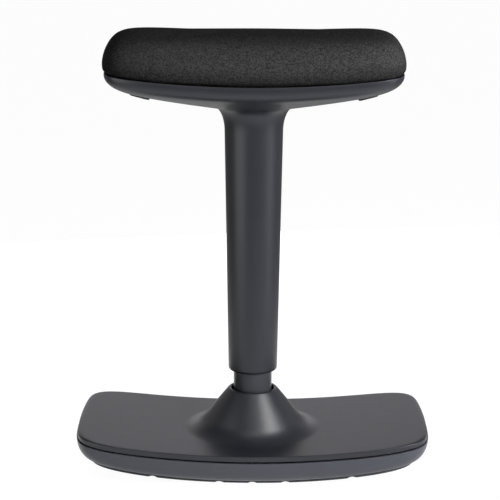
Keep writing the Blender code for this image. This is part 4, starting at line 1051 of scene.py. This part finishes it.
def make_world():
    """White where the camera looks; in reflections a white wall, dark flags and a dim ceiling."""
    world = bpy.data.worlds.new("studio")
    bpy.context.scene.world = world
    world.use_nodes = True
    tree = world.node_tree
    path = tree.nodes.new("ShaderNodeLightPath").outputs
    heading = tree.nodes.new("ShaderNodeTexCoord").outputs["Generated"]
    ray = add_node(tree, "ShaderNodeSeparateXYZ", i0=heading).outputs
    across = add_node(tree, "ShaderNodeMath", "ABSOLUTE", i0=ray["X"]).outputs[0]
    beside = fade(tree, across, FLAG_ACROSS, 0.0, 1.0)
    behind = fade(tree, ray["Y"], FLAG_BEHIND, 0.0, 1.0)
    low = fade(tree, ray["Z"], FLAG_RISE, 1.0, 0.0)
    flag = maths(tree, "MULTIPLY", maths(tree, "MULTIPLY", beside, behind), low)
    kept = add_node(tree, "ShaderNodeMapRange", i0=flag, i3=1.0, i4=FLAG_GLOSS).outputs[0]
    wall = fade(tree, ray["Z"], CEILING_RISE, SEEN_WHITE, CEILING_GLOSS)
    gloss = maths(tree, "MULTIPLY", wall, kept)
    indirect = choose(tree, path["Is Glossy Ray"], WORLD_LIGHT, gloss)
    straight = maths(tree, "ADD", path["Is Camera Ray"], path["Is Transmission Ray"])
    strength = choose(tree, straight, indirect, SEEN_WHITE)
    tint = tree.nodes.new("ShaderNodeMix")
    tint.data_type = "RGBA"
    tree.links.new(path["Is Glossy Ray"], tint.inputs[0])
    tint.inputs[6].default_value = (1.0, 1.0, 1.0, 1.0)
    tint.inputs[7].default_value = WALL_TINT
    background = tree.nodes["Background"]
    tree.links.new(tint.outputs[2], background.inputs["Color"])
    tree.links.new(strength, background.inputs["Strength"])


def make_floor():
    """Pale and plain; glowing where it is seen, brightest near the stool in reflections."""
    mesh = form_mesh("floor", lambda form: bmesh.ops.create_grid(
        form, x_segments=1, y_segments=1, size=FLOOR_HALF))
    material = bpy.data.materials.new("floor_white")
    material.use_nodes = True
    tree = material.node_tree
    tree.nodes.remove(tree.nodes["Principled BSDF"])
    path = tree.nodes.new("ShaderNodeLightPath").outputs
    straight = maths(tree, "ADD", path["Is Camera Ray"], path["Is Transmission Ray"])
    seen = maths(tree, "ADD", straight, path["Is Glossy Ray"])
    place = tree.nodes.new("ShaderNodeTexCoord").outputs["Object"]
    moved = add_node(tree, "ShaderNodeVectorMath", i0=place, i1=(0.0, -FLOOR_NEAR_Y, 0.0))
    reach = add_node(tree, "ShaderNodeVectorMath", "LENGTH", i0=moved.outputs[0])
    faded = fade(tree, reach.outputs["Value"], FLOOR_FADE, FLOOR_GLOW, FLOOR_FAR_GLOSS)
    strength = choose(tree, path["Is Glossy Ray"], FLOOR_GLOW, faded)
    plain = add_node(tree, "ShaderNodeBsdfDiffuse", Color=FLOOR_COLOUR)
    shadowed = add_node(tree, "ShaderNodeBsdfDiffuse", Color=FLOOR_SHADOW)
    glow = add_node(tree, "ShaderNodeEmission", Strength=strength)
    pale = add_node(tree, "ShaderNodeAddShader", i0=shadowed.outputs[0], i1=glow.outputs[0])
    mix = add_node(tree, "ShaderNodeMixShader", i0=seen, i1=plain.outputs[0], i2=pale.outputs[0])
    tree.links.new(mix.outputs[0], tree.nodes["Material Output"].inputs["Surface"])
    floor = mesh_object("floor", mesh, material)
    floor.location.z = -FLOOR_DROP


def add_lamp(name, place, target, size, power, tall=None, glossy=True, diffuse=True):
    data = bpy.data.lights.new(name, "AREA")
    data.shape = "RECTANGLE"
    data.size = size
    data.size_y = tall or size
    data.energy = power
    lamp = bpy.data.objects.new(name, data)
    bpy.context.scene.collection.objects.link(lamp)
    lamp.visible_camera = False
    lamp.visible_glossy = glossy
    lamp.visible_diffuse = diffuse
    lamp.location = place
    aim = Vector(target) - Vector(place)
    lamp.rotation_euler = aim.to_track_quat("-Z", "Y").to_euler()


def make_lamps():
    add_lamp("front", place=(1.05, -0.95, 0.70), target=(0.0, 0.0, 0.38),
             size=0.6, power=20.5, glossy=False)
    add_lamp("right_box", place=(0.98, -0.36, 0.52), target=(0.0, 0.0, 0.52),
             size=0.55, tall=1.0, power=2.2, diffuse=False)
    add_lamp("left_box", place=(-0.88, -0.60, 0.50), target=(0.0, 0.0, 0.50),
             size=0.85, tall=1.0, power=4.4, diffuse=False)
    add_lamp("over", place=(1.05, -0.70, 1.40), target=(0.0, 0.0, 0.07),
             size=0.75, power=21.5, diffuse=False)
    add_lamp("over_wide", place=(0.20, -0.80, 1.70), target=(0.0, 0.0, 0.07),
             size=1.10, power=5.0, diffuse=False)
    add_lamp("back", place=(-0.35, 1.40, 0.42), target=(0.0, 0.0, 0.35),
             size=0.9, power=24.0, glossy=False)


def make_camera():
    data = bpy.data.cameras.new("camera")
    data.sensor_width = SENSOR_WIDTH
    data.lens = FOCAL_PIXELS / PICTURE_PIXELS * SENSOR_WIDTH
    data.shift_x = (PICTURE_PIXELS / 2 - CENTRE_PIXEL_X) / PICTURE_PIXELS
    camera = bpy.data.objects.new("camera", data)
    bpy.context.scene.collection.objects.link(camera)
    tilt = Matrix.Rotation(QUARTER_TURN - CAMERA_PITCH, 4, "X")
    roll = Matrix.Rotation(CAMERA_ROLL, 4, "Z")
    camera.matrix_world = (Matrix.Translation((0.0, -CAMERA_DISTANCE, CAMERA_HEIGHT))
                           @ tilt @ roll)
    bpy.context.scene.camera = camera


make_cover()
make_tray()
make_sole()
make_tube()
make_shell()
make_lever(-1, "left_lever", "left_release")
make_lever(1, "right_lever", "right_release")
make_cushion()
make_world()
make_floor()
make_lamps()
make_camera()
bpy.context.scene.view_settings.view_transform = "Standard"
